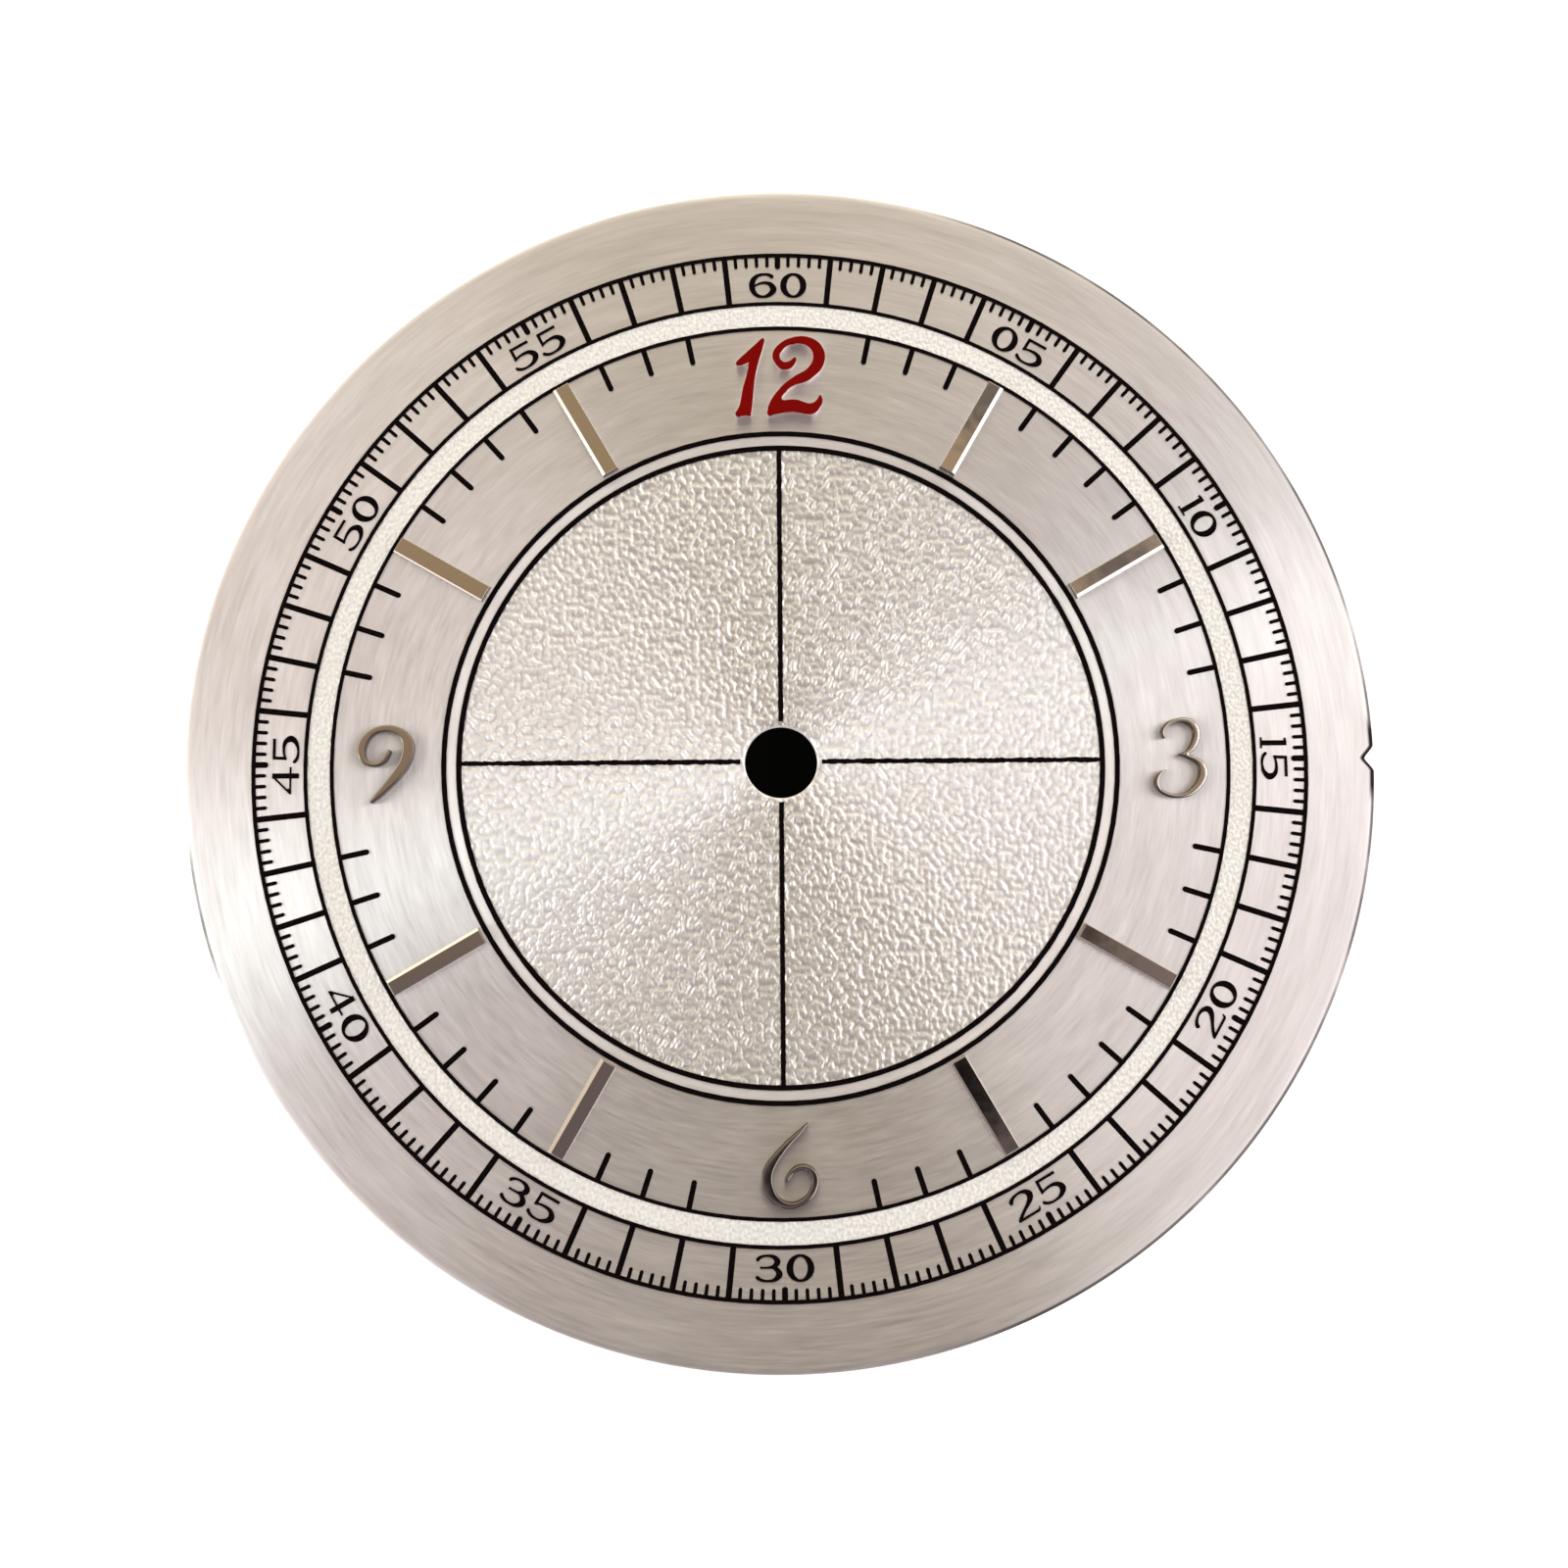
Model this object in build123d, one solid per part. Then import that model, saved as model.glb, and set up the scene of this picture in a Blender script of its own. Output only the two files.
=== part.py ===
from build123d import *
import os

# A sector watch dial with applied batons and numerals, in millimetres.
# The back face lies at z = 0, the centre hole's axis is Z, and 12 o'clock points along +Y.

# Plate
plate_diameter = 33.5
plate_thickness = 0.40
centre_hole_diameter = 2.05
hole_bevel_width = 0.09
hole_bevel_depth = 0.05
rim_bevel_width = 0.20
rim_bevel_depth = 0.06
notch_width = 0.64
notch_depth = 0.26

# Feet, whose heads are soldered in shallow sockets in the back
foot_diameter = 0.75
foot_length = 2.00
foot_tip_bevel = 0.10
foot_head_diameter = 1.25
foot_inset = 4.85       # from the rim to a foot's axis
socket_depth = 0.15
socket_clearance = 0.02
foot_clock_degrees = {"upper": 43, "lower": 217}

# Rings of the face, from the rim inwards, each to the middle of its circle's line
brim_width = 1.945
minute_track_width = 1.452
frosted_ring_width = 0.738
hour_ring_width = 3.137
sector_ring_width = 0.423

# Applied batons, which span the hour ring
baton_end_gap = 0.118
baton_width = 0.49
baton_height = 0.26
baton_bevel = 0.04
baton_pin_diameter = 0.30
baton_pin_inset = 0.55

# Applied numerals, drawn in shares of one size
numeral_size = 1.00
numeral_outward_shift = 0.083   # from the middle of the hour ring
numeral_height = 0.24
numeral_pin_diameter = 0.18
pin_clearance = 0.02
pin_end_recess = 0.03

# Prints
ink_thickness = 0.02
minute_outer_line = 0.115
minute_inner_line = 0.105
minute_line = 0.165
fine_tick_width = 0.102
fine_tick_length = 0.35
five_tick_width = 0.165
five_tick_length = 0.41
minute_digit_gap = 0.177        # from the inner circle to the digits
minute_digit_height = 0.74
hour_circle_line = 0.107
hour_tick_width = 0.155
hour_tick_length = 0.83
sector_outer_line = 0.142
sector_inner_line = 0.147
crosshair_line = 0.135
crosshair_hole_gap = 0.12

# One overrun for every cut
overrun = 0.5

# Counts and angles
minutes = 60
minutes_an_hour_mark = 5
hours_a_numeral = 3
fine_ticks_a_minute = 5
degrees_a_minute = 360 / minutes
baton_hours = [hour for hour in range(1, minutes // minutes_an_hour_mark) if hour % hours_a_numeral]

# Pen strokes of the applied numerals: x, y and width in shares of the numeral size,
# from a point on the numeral circle
three_upper_shares = (
    (-0.37, 0.65, 0.10), (-0.40, 0.79, 0.10), (-0.33, 0.92, 0.11), (-0.20, 1.035, 0.12),
    (-0.03, 1.09, 0.13), (0.16, 1.11, 0.16), (0.34, 1.07, 0.19), (0.49, 0.93, 0.20),
    (0.555, 0.73, 0.19), (0.515, 0.53, 0.19), (0.42, 0.35, 0.17), (0.27, 0.205, 0.12),
    (0.055, 0.14, 0.04),
)
three_lower_shares = (
    (0.055, 0.14, 0.04), (0.275, 0.09, 0.13), (0.46, 0.01, 0.14), (0.61, -0.10, 0.18),
    (0.695, -0.26, 0.22), (0.70, -0.44, 0.24), (0.61, -0.65, 0.22), (0.46, -0.83, 0.20),
    (0.26, -0.97, 0.16), (0.04, -1.03, 0.12), (-0.20, -1.02, 0.12), (-0.40, -0.95, 0.12),
    (-0.555, -0.83, 0.12), (-0.61, -0.65, 0.13), (-0.565, -0.49, 0.11), (-0.35, -0.30, 0.03),
)
six_shares = (
    (0.65, 1.09, 0.03), (0.52, 0.935, 0.10), (0.35, 0.775, 0.14), (0.16, 0.605, 0.17),
    (-0.03, 0.40, 0.20), (-0.20, 0.20, 0.23), (-0.35, -0.01, 0.27), (-0.45, -0.23, 0.30),
    (-0.475, -0.45, 0.31), (-0.43, -0.67, 0.31), (-0.34, -0.85, 0.28), (-0.19, -1.00, 0.24),
    (0.01, -1.09, 0.20), (0.24, -1.11, 0.18), (0.46, -1.04, 0.17), (0.67, -0.89, 0.18),
    (0.80, -0.68, 0.20), (0.85, -0.46, 0.21), (0.80, -0.26, 0.20), (0.67, -0.13, 0.18),
    (0.49, -0.09, 0.17), (0.31, -0.14, 0.16), (0.17, -0.27, 0.14), (0.07, -0.43, 0.12),
)
nine_shares = (
    (0.16, 0.36, 0.12), (0.09, 0.21, 0.13), (-0.03, 0.07, 0.13), (-0.18, 0.00, 0.13),
    (-0.35, 0.01, 0.14), (-0.50, 0.09, 0.16), (-0.585, 0.25, 0.19), (-0.60, 0.45, 0.22),
    (-0.54, 0.65, 0.22), (-0.40, 0.84, 0.19), (-0.20, 0.97, 0.18), (0.04, 1.02, 0.19),
    (0.28, 1.00, 0.20), (0.50, 0.89, 0.23), (0.65, 0.72, 0.27), (0.71, 0.50, 0.30),
    (0.685, 0.26, 0.30), (0.60, 0.02, 0.28), (0.46, -0.20, 0.26), (0.28, -0.42, 0.24),
    (0.11, -0.62, 0.20), (-0.08, -0.82, 0.17), (-0.30, -1.04, 0.10),
)

# Outlines of the 12's digits: splines that meet at corners, in shares of the numeral size
one_outline_shares = (
    ((-0.39, 1.13), (-0.45, 0.85), (-0.57, 0.45), (-0.66, 0.05), (-0.71, -0.40), (-0.79, -1.10)),
    ((-0.79, -1.10), (-1.14, -1.13)),
    ((-1.14, -1.13), (-1.23, -1.09), (-1.24, -1.01)),
    ((-1.24, -1.01), (-1.11, -0.75), (-1.04, -0.35), (-0.93, 0.05), (-0.85, 0.47)),
    ((-0.85, 0.47), (-0.98, 0.41), (-1.15, 0.38)),
    ((-1.15, 0.38), (-1.22, 0.43), (-1.20, 0.51)),
    ((-1.20, 0.51), (-0.92, 0.77), (-0.69, 0.98), (-0.50, 1.17)),
    ((-0.50, 1.17), (-0.42, 1.20), (-0.39, 1.13)),
)
two_outline_shares = (
    ((0.43, 0.61), (0.31, 0.51), (0.15, 0.49), (0.05, 0.62), (0.11, 0.82), (0.27, 0.97),
     (0.48, 1.015), (0.69, 1.00), (0.88, 0.91), (0.985, 0.74), (0.99, 0.55), (0.91, 0.38),
     (0.75, 0.22), (0.56, 0.12), (0.355, -0.01), (0.15, -0.175), (-0.02, -0.36),
     (-0.17, -0.56), (-0.28, -0.77), (-0.325, -0.97)),
    ((-0.325, -0.97), (-0.32, -1.06), (-0.26, -1.11)),
    ((-0.26, -1.11), (-0.08, -1.07), (0.15, -1.03), (0.40, -1.01), (0.67, -1.05),
     (0.88, -1.08), (1.06, -1.03), (1.19, -0.88), (1.265, -0.70), (1.24, -0.54)),
    ((1.24, -0.54), (1.20, -0.49), (1.15, -0.53)),
    ((1.15, -0.53), (1.06, -0.675), (0.95, -0.74), (0.77, -0.72), (0.56, -0.64),
     (0.355, -0.63), (0.16, -0.65)),
    ((0.16, -0.65), (0.10, -0.62), (0.10, -0.55)),
    ((0.10, -0.55), (0.19, -0.43), (0.31, -0.31), (0.48, -0.21), (0.69, -0.15), (0.88, -0.07),
     (1.06, 0.075), (1.23, 0.24), (1.32, 0.43), (1.355, 0.64), (1.30, 0.87), (1.16, 1.07),
     (0.94, 1.20), (0.69, 1.25), (0.44, 1.22), (0.21, 1.14), (0.02, 1.01), (-0.12, 0.85),
     (-0.17, 0.68), (-0.13, 0.52), (-0.04, 0.38), (0.07, 0.28), (0.21, 0.26), (0.355, 0.30),
     (0.46, 0.40), (0.52, 0.53)),
    ((0.52, 0.53), (0.50, 0.62), (0.43, 0.61)),
)

# Places of the numerals' pins, in shares of the numeral size
numeral_pin_shares = {
    "numeral_3": ((0.53, 0.83), (0.70, -0.37)),
    "numeral_6": ((-0.47, -0.40), (0.84, -0.50)),
    "numeral_9": ((0.70, 0.42), (-0.59, 0.45)),
    "numeral_12_one": ((-0.69, 0.55), (-0.94, -0.75)),
    "numeral_12_two": ((1.16, 0.66), (0.20, -0.84)),
}
numeral_clock_degrees = {
    "numeral_3": 90,
    "numeral_6": 180,
    "numeral_9": 270,
    "numeral_12_one": 0,
    "numeral_12_two": 0,
}
# How far each drawing is moved from its point on the numeral circle
numeral_nudge_shares = {
    "numeral_3": (0.01, -0.03),
    "numeral_6": (0.00, 0.04),
    "numeral_9": (-0.01, -0.03),
    "numeral_12_one": (0.00, -0.08),
    "numeral_12_two": (0.00, -0.08),
}

# Minute digits: pen strokes (x, y, width) and straight bars (x, y, x, y, width), with the digit's
# width, in shares of its height from the lower left corner
zero_outer_shares = (0.515, 0.50)
zero_inner_shares = (0.265, 0.405)
digit_width_shares = {"0": 1.03, "1": 0.43, "2": 0.98, "3": 1.01, "4": 1.04, "5": 1.07, "6": 1.09}
digit_gap_share = 0.135
digit_stroke_shares = {
    "2": (
        ((0.11, 0.785, 0.16), (0.23, 0.89, 0.115), (0.47, 0.955, 0.085), (0.74, 0.90, 0.15),
         (0.865, 0.735, 0.235), (0.77, 0.55, 0.19), (0.54, 0.39, 0.12), (0.31, 0.245, 0.11),
         (0.10, 0.08, 0.12)),
        ((0.80, 0.05, 0.09), (0.93, 0.085, 0.08), (0.96, 0.16, 0.04)),
    ),
    "3": (
        ((0.095, 0.825, 0.135), (0.225, 0.92, 0.10), (0.44, 0.957, 0.085), (0.71, 0.885, 0.16),
         (0.815, 0.74, 0.23), (0.71, 0.59, 0.16), (0.49, 0.525, 0.08), (0.21, 0.525, 0.08)),
        ((0.56, 0.525, 0.08), (0.79, 0.45, 0.17), (0.885, 0.285, 0.24), (0.76, 0.12, 0.16),
         (0.465, 0.043, 0.085), (0.21, 0.085, 0.11), (0.07, 0.17, 0.135)),
    ),
    "4": (
        ((0.03, 0.325, 0.03), (0.16, 0.36, 0.12)),
    ),
    "5": (
        ((0.06, 0.175, 0.12), (0.18, 0.09, 0.11), (0.50, 0.043, 0.085), (0.80, 0.135, 0.16),
         (0.945, 0.325, 0.24), (0.84, 0.51, 0.17), (0.54, 0.59, 0.10), (0.30, 0.56, 0.08),
         (0.17, 0.515, 0.08)),
    ),
    "6": (
        ((0.90, 0.865, 0.14), (0.76, 0.94, 0.11), (0.57, 0.957, 0.09), (0.28, 0.86, 0.15),
         (0.118, 0.51, 0.235), (0.24, 0.175, 0.16), (0.57, 0.047, 0.095)),
        ((0.57, 0.047, 0.095), (0.84, 0.165, 0.18), (0.96, 0.35, 0.25), (0.84, 0.545, 0.17),
         (0.58, 0.615, 0.095), (0.32, 0.54, 0.07), (0.20, 0.46, 0.055)),
    ),
}
digit_bar_shares = {
    "1": ((0.22, 0.00, 0.22, 1.00, 0.195), (0.00, 0.03, 0.43, 0.03, 0.06), (0.03, 0.93, 0.20, 0.96, 0.08)),
    "2": ((0.01, 0.045, 0.90, 0.045, 0.09),),
    "4": (
        (0.70, 0.00, 0.70, 1.00, 0.195),
        (0.04, 0.33, 0.66, 0.965, 0.07),
        (0.00, 0.315, 1.04, 0.315, 0.065),
    ),
    "5": ((0.195, 0.50, 0.215, 1.00, 0.12), (0.16, 0.952, 0.95, 0.952, 0.10)),
}

# Worked out
plate_radius = plate_diameter / 2
hole_radius = centre_hole_diameter / 2
minute_outer_radius = plate_radius - brim_width
minute_inner_radius = minute_outer_radius - minute_track_width
minute_digit_radius = minute_inner_radius + minute_digit_gap + minute_digit_height / 2
hour_circle_radius = minute_inner_radius - frosted_ring_width
sector_outer_radius = hour_circle_radius - hour_ring_width
sector_inner_radius = sector_outer_radius - sector_ring_width
baton_inner_radius = sector_outer_radius + baton_end_gap
baton_length = hour_ring_width - 2 * baton_end_gap
numeral_radius = sector_outer_radius + hour_ring_width / 2 + numeral_outward_shift
marker_pin_length = plate_thickness - pin_end_recess
face_level = Pos(0, 0, plate_thickness)


def at_clock(degrees):
    return Rot(Z=-degrees)


def at_minute(minute):
    return at_clock(minute * degrees_a_minute)


def bottom_cylinder(radius, height):
    return Cylinder(radius, height, align=(Align.CENTER, Align.CENTER, Align.MIN))


def top_cylinder(radius, height):
    return Cylinder(radius, height, align=(Align.CENTER, Align.CENTER, Align.MAX))


def curve_through(points):
    return Line(*points) if len(points) == 2 else Spline(*points)


def pen_stroke(shares, size):
    # A band of changing width along a curve, with round ends
    spots = [Vector(x, y) * size for x, y, width in shares]
    halves = [width * size / 2 for x, y, width in shares]
    last = len(spots) - 1
    ways = [(spots[min(i + 1, last)] - spots[max(i - 1, 0)]).normalized() for i in range(last + 1)]
    sides = [way.rotate(Axis.Z, 90) * half for way, half in zip(ways, halves)]
    left = [spot + side for spot, side in zip(spots, sides)]
    right = [spot - side for spot, side in zip(spots, sides)]
    edges = [
        curve_through(left),
        ThreePointArc(left[-1], spots[-1] + ways[-1] * halves[-1], right[-1]),
        curve_through(right[::-1]),
        ThreePointArc(right[0], spots[0] - ways[0] * halves[0], left[0]),
    ]
    return make_face(edges)


def straight_bar(shares, size):
    # A bar with square ends between two points
    x_start, y_start, x_end, y_end, width = [share * size for share in shares]
    start, end = Vector(x_start, y_start), Vector(x_end, y_end)
    side = (end - start).normalized().rotate(Axis.Z, 90) * (width / 2)
    return make_face(Polyline(start + side, end + side, end - side, start - side, close=True))


def outline_face(shares, size):
    curves = [curve_through([Vector(x, y) * size for x, y in points]) for points in shares]
    return make_face(curves)


def ring_face(radius, line):
    return Circle(radius + line / 2) - Circle(radius - line / 2)


def inward_tick(radius, length, width):
    # A tick with a round inner end, from a circle towards the centre
    tick = Pos(0, radius - length / 2 + width / 4) * Rectangle(width, length - width / 2)
    return tick + Pos(0, radius - length + width / 2) * Circle(width / 2)


def inked(face):
    return extrude(face_level * face, amount=ink_thickness)


def dial_plate():
    face_corner = (plate_radius - rim_bevel_width, plate_thickness)
    section = Polyline(
        (hole_radius, 0),
        (plate_radius, 0),
        (plate_radius, plate_thickness - rim_bevel_depth),
        face_corner,
        (hole_radius + hole_bevel_width, plate_thickness),
        (hole_radius, plate_thickness - hole_bevel_depth),
        close=True,
    )
    plate = revolve(Plane.XZ * make_face(section), Axis.Z)
    notch_run = notch_depth + overrun
    notch_half = notch_width / 2 * notch_run / notch_depth
    notch_root = plate_radius - notch_depth
    notch = make_face(Polyline(
        (notch_root, 0),
        (notch_root + notch_run, notch_half),
        (notch_root + notch_run, -notch_half),
        close=True,
    ))
    plate -= Pos(0, 0, -overrun) * extrude(notch, amount=plate_thickness + 2 * overrun)
    socket = bottom_cylinder(foot_head_diameter / 2 + socket_clearance, socket_depth)
    plate -= [foot_place(clock) * socket for clock in foot_clock_degrees.values()]
    return plate - marker_holes()


def marker_holes():
    depth = plate_thickness + 2 * overrun
    baton_hole = Pos(0, 0, -overrun) * bottom_cylinder(baton_pin_diameter / 2 + pin_clearance, depth)
    numeral_hole = Pos(0, 0, -overrun) * bottom_cylinder(numeral_pin_diameter / 2 + pin_clearance, depth)
    holes = []
    for hour in baton_hours:
        place = at_minute(hour * minutes_an_hour_mark) * Pos(0, baton_inner_radius)
        holes += [place * Pos(0, reach) * baton_hole for reach in baton_pin_reaches()]
    for name, shares in numeral_pin_shares.items():
        place = numeral_place(name)
        holes += [place * Pos(x * numeral_size, y * numeral_size) * numeral_hole for x, y in shares]
    return holes


def foot_place(clock):
    return at_clock(clock) * Pos(0, plate_radius - foot_inset)


def dial_foot(clock):
    post = top_cylinder(foot_diameter / 2, foot_length)
    post = chamfer(post.edges().sort_by(Axis.Z)[0], foot_tip_bevel)
    head = bottom_cylinder(foot_head_diameter / 2, socket_depth)
    return foot_place(clock) * (post + head)


def baton_pin_reaches():
    return (baton_pin_inset, baton_length - baton_pin_inset)


def baton(hour):
    bar = Box(baton_width, baton_length, baton_height, align=(Align.CENTER, Align.MIN, Align.MIN))
    bar = chamfer(bar.faces().sort_by(Axis.Z)[-1].edges(), baton_bevel)
    pin = top_cylinder(baton_pin_diameter / 2, marker_pin_length)
    marker = bar + [Pos(0, reach) * pin for reach in baton_pin_reaches()]
    return at_minute(hour * minutes_an_hour_mark) * face_level * Pos(0, baton_inner_radius) * marker


def numeral_place(name):
    # The numerals stand upright round the dial
    clock = numeral_clock_degrees[name]
    x, y = [share * numeral_size for share in numeral_nudge_shares[name]]
    return Pos(x, y) * at_clock(clock) * Pos(0, numeral_radius) * at_clock(-clock)


def numeral(name, face):
    pin = top_cylinder(numeral_pin_diameter / 2, marker_pin_length)
    marker = extrude(face, amount=numeral_height)
    marker += [Pos(x * numeral_size, y * numeral_size) * pin for x, y in numeral_pin_shares[name]]
    return numeral_place(name) * face_level * marker


def numeral_faces():
    three = pen_stroke(three_upper_shares, numeral_size) + pen_stroke(three_lower_shares, numeral_size)
    return {
        "numeral_3": three,
        "numeral_6": pen_stroke(six_shares, numeral_size),
        "numeral_9": pen_stroke(nine_shares, numeral_size),
        "numeral_12_one": outline_face(one_outline_shares, numeral_size),
        "numeral_12_two": outline_face(two_outline_shares, numeral_size),
    }


def minute_track_print():
    track = ring_face(minute_outer_radius, minute_outer_line)
    track += ring_face(minute_inner_radius, minute_inner_line)
    full_length = minute_outer_radius - minute_inner_radius
    full_line = Pos(0, minute_inner_radius + full_length / 2) * Rectangle(minute_line, full_length)
    five_tick = inward_tick(minute_outer_radius, five_tick_length, five_tick_width)
    fine_tick = inward_tick(minute_outer_radius, fine_tick_length, fine_tick_width)
    marks = []
    for minute in range(minutes):
        marks.append(at_minute(minute) * (full_line if minute % minutes_an_hour_mark else five_tick))
        for fifth in range(1, fine_ticks_a_minute):
            marks.append(at_minute(minute + fifth / fine_ticks_a_minute) * fine_tick)
    return inked(track + marks)


def minute_digit(digit):
    size = minute_digit_height
    if digit == "0":
        outer_half_width, outer_half_height = [share * size for share in zero_outer_shares]
        inner_half_width, inner_half_height = [share * size for share in zero_inner_shares]
        outer = Ellipse(outer_half_width, outer_half_height)
        inner = Ellipse(inner_half_width, inner_half_height)
        return Pos(outer_half_width, outer_half_height) * (outer - inner)
    strokes = [pen_stroke(shares, size) for shares in digit_stroke_shares.get(digit, ())]
    bars = [straight_bar(shares, size) for shares in digit_bar_shares.get(digit, ())]
    first, *others = strokes + bars
    return first + others if others else first


def minute_numeral_print():
    size = minute_digit_height
    digits = {digit: inked(minute_digit(digit)) for digit in digit_width_shares}
    gap = digit_gap_share * size
    solids = []
    for minute in range(minutes_an_hour_mark, minutes + 1, minutes_an_hour_mark):
        tens, units = f"{minute:02d}"
        tens_width = digit_width_shares[tens] * size
        units_width = digit_width_shares[units] * size
        left = -(tens_width + gap + units_width) / 2
        # The lower numerals, from 20 to 40, stand with their feet outwards
        turned = minutes / 4 < minute < minutes * 3 / 4
        place = at_minute(minute) * Pos(0, minute_digit_radius) * at_clock(180 if turned else 0)
        for digit, x in ((tens, left), (units, left + tens_width + gap)):
            solids += (place * Pos(x, -size / 2) * digits[digit]).solids()
    return Compound(solids)


def beside_numeral(minute):
    minutes_a_numeral = minutes_an_hour_mark * hours_a_numeral
    return min(minute % minutes_a_numeral, -minute % minutes_a_numeral) == 1


def hour_track_print():
    tick = inward_tick(hour_circle_radius, hour_tick_length, hour_tick_width)
    ticks = [
        at_minute(minute) * tick
        for minute in range(minutes)
        if minute % minutes_an_hour_mark and not beside_numeral(minute)
    ]
    return inked(ring_face(hour_circle_radius, hour_circle_line) + ticks)


def crosshair_print():
    start = hole_radius + crosshair_hole_gap
    length = sector_inner_radius - start
    arm = Pos(0, start + length / 2) * Rectangle(crosshair_line, length)
    arms = [at_clock(clock) * arm for clock in (0, 90, 180, 270)]
    return inked(ring_face(sector_inner_radius, sector_inner_line) + arms)


def sector_circle_print():
    return inked(ring_face(sector_outer_radius, sector_outer_line))


def all_parts():
    parts = {"dial_plate": dial_plate()}
    for name, clock in foot_clock_degrees.items():
        parts[f"dial_foot_{name}"] = dial_foot(clock)
    for hour in baton_hours:
        parts[f"baton_{hour}"] = baton(hour)
    for name, face in numeral_faces().items():
        parts[name] = numeral(name, face)
    parts["minute_track_print"] = minute_track_print()
    parts["minute_numeral_print"] = minute_numeral_print()
    parts["hour_track_print"] = hour_track_print()
    parts["crosshair_print"] = crosshair_print()
    parts["sector_circle_print"] = sector_circle_print()
    return parts


os.makedirs("parts", exist_ok=True)
for node, shape in all_parts().items():
    export_step(shape, f"parts/{node}.step")
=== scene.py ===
import math

import bmesh
import bpy
import numpy as np
from mathutils import Matrix, Vector
from mathutils.geometry import delaunay_2d_cdt


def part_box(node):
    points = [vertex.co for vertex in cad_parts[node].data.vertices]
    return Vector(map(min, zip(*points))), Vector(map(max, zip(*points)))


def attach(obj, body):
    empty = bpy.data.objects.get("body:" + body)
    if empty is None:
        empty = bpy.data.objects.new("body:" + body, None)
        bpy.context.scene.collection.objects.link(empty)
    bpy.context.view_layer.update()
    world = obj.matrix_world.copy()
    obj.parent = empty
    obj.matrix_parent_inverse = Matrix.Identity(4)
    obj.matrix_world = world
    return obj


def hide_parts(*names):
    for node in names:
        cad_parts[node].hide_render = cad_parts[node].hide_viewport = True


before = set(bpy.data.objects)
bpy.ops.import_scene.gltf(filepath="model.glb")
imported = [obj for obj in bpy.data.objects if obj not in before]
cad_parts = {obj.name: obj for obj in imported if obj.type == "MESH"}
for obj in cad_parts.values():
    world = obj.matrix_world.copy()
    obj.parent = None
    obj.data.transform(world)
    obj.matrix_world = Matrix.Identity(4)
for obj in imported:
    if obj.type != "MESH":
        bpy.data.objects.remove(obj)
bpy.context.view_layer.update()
scene = bpy.context.scene
scene.view_settings.view_transform = "Standard"
print("frame loaded:", len(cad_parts), "parts")

mm = 0.001
faceLevel = 0.40  # mm, the printed face above the back

# Small helpers for node trees


def addNode(tree, kind, inputs=None, **settings):
    made = tree.nodes.new(kind)
    for name, value in settings.items():
        setattr(made, name, value)
    for key, value in (inputs or {}).items():
        plug(value, made.inputs[key])
    return made


def plug(value, socket):
    if isinstance(value, bpy.types.Node):
        value = value.outputs[0]
    if isinstance(value, bpy.types.NodeSocket):
        socket.id_data.links.new(value, socket)
    else:
        socket.default_value = value


def follow(kind, inputs, **settings):
    # A node beside the ones that feed it, in their tree
    tree = next(value.id_data for value in inputs.values() if hasattr(value, "id_data"))
    return addNode(tree, kind, inputs, **settings).outputs


def sums(operation, first, second=0.0, third=None, clamp=False):
    inputs = {0: first, 1: second}
    if third is not None:
        inputs[2] = third
    return follow("ShaderNodeMath", inputs, operation=operation, use_clamp=clamp)[0]


def plus(first, second):
    return sums("ADD", first, second)


def minus(first, second):
    return sums("SUBTRACT", first, second)


def times(first, second):
    return sums("MULTIPLY", first, second)


def average(first, second):
    return plus(times(first, 0.5), times(second, 0.5))


def vectors(operation, first, second=None, scale=None):
    inputs = {0: first}
    if second is not None:
        inputs[1] = second
    if scale is not None:
        inputs["Scale"] = scale
    made = follow("ShaderNodeVectorMath", inputs, operation=operation)
    return made["Value" if operation in ("LENGTH", "DISTANCE") else "Vector"]


def combine(x=0.0, y=0.0, z=0.0):
    return follow("ShaderNodeCombineXYZ", {"X": x, "Y": y, "Z": z})[0]


def separate(value):
    return follow("ShaderNodeSeparateXYZ", {0: value})


def flatPart(place):
    return vectors("MULTIPLY", place, (1.0, 1.0, 0.0))


def objectPlace(tree):
    return addNode(tree, "ShaderNodeTexCoord").outputs["Object"]


def noiseAt(place, scale, detail, roughness=0.5):
    inputs = {"Vector": place, "Scale": scale, "Detail": detail, "Roughness": roughness}
    return follow("ShaderNodeTexNoise", inputs)[0]


def remap(value, low, high, newLow=0.0, newHigh=1.0, style="LINEAR"):
    inputs = {"Value": value, "From Min": low, "From Max": high, "To Min": newLow, "To Max": newHigh}
    return follow("ShaderNodeMapRange", inputs, interpolation_type=style)[0]


def soften(value, low, high, newLow=0.0, newHigh=1.0):
    return remap(value, low, high, newLow, newHigh, "SMOOTHSTEP")


def spread(noise, low=0.0, high=1.0):
    # A noise keeps mostly between 0.3 and 0.7
    return remap(noise, 0.3, 0.7, low, high)


def mixColour(share, first, second):
    # Sockets 6 and 7 are the Mix node's colours
    return follow("ShaderNodeMix", {0: share, 6: first, 7: second}, data_type="RGBA")[2]


number, geometry, material = "NodeSocketFloat", "NodeSocketGeometry", "NodeSocketMaterial"


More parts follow.
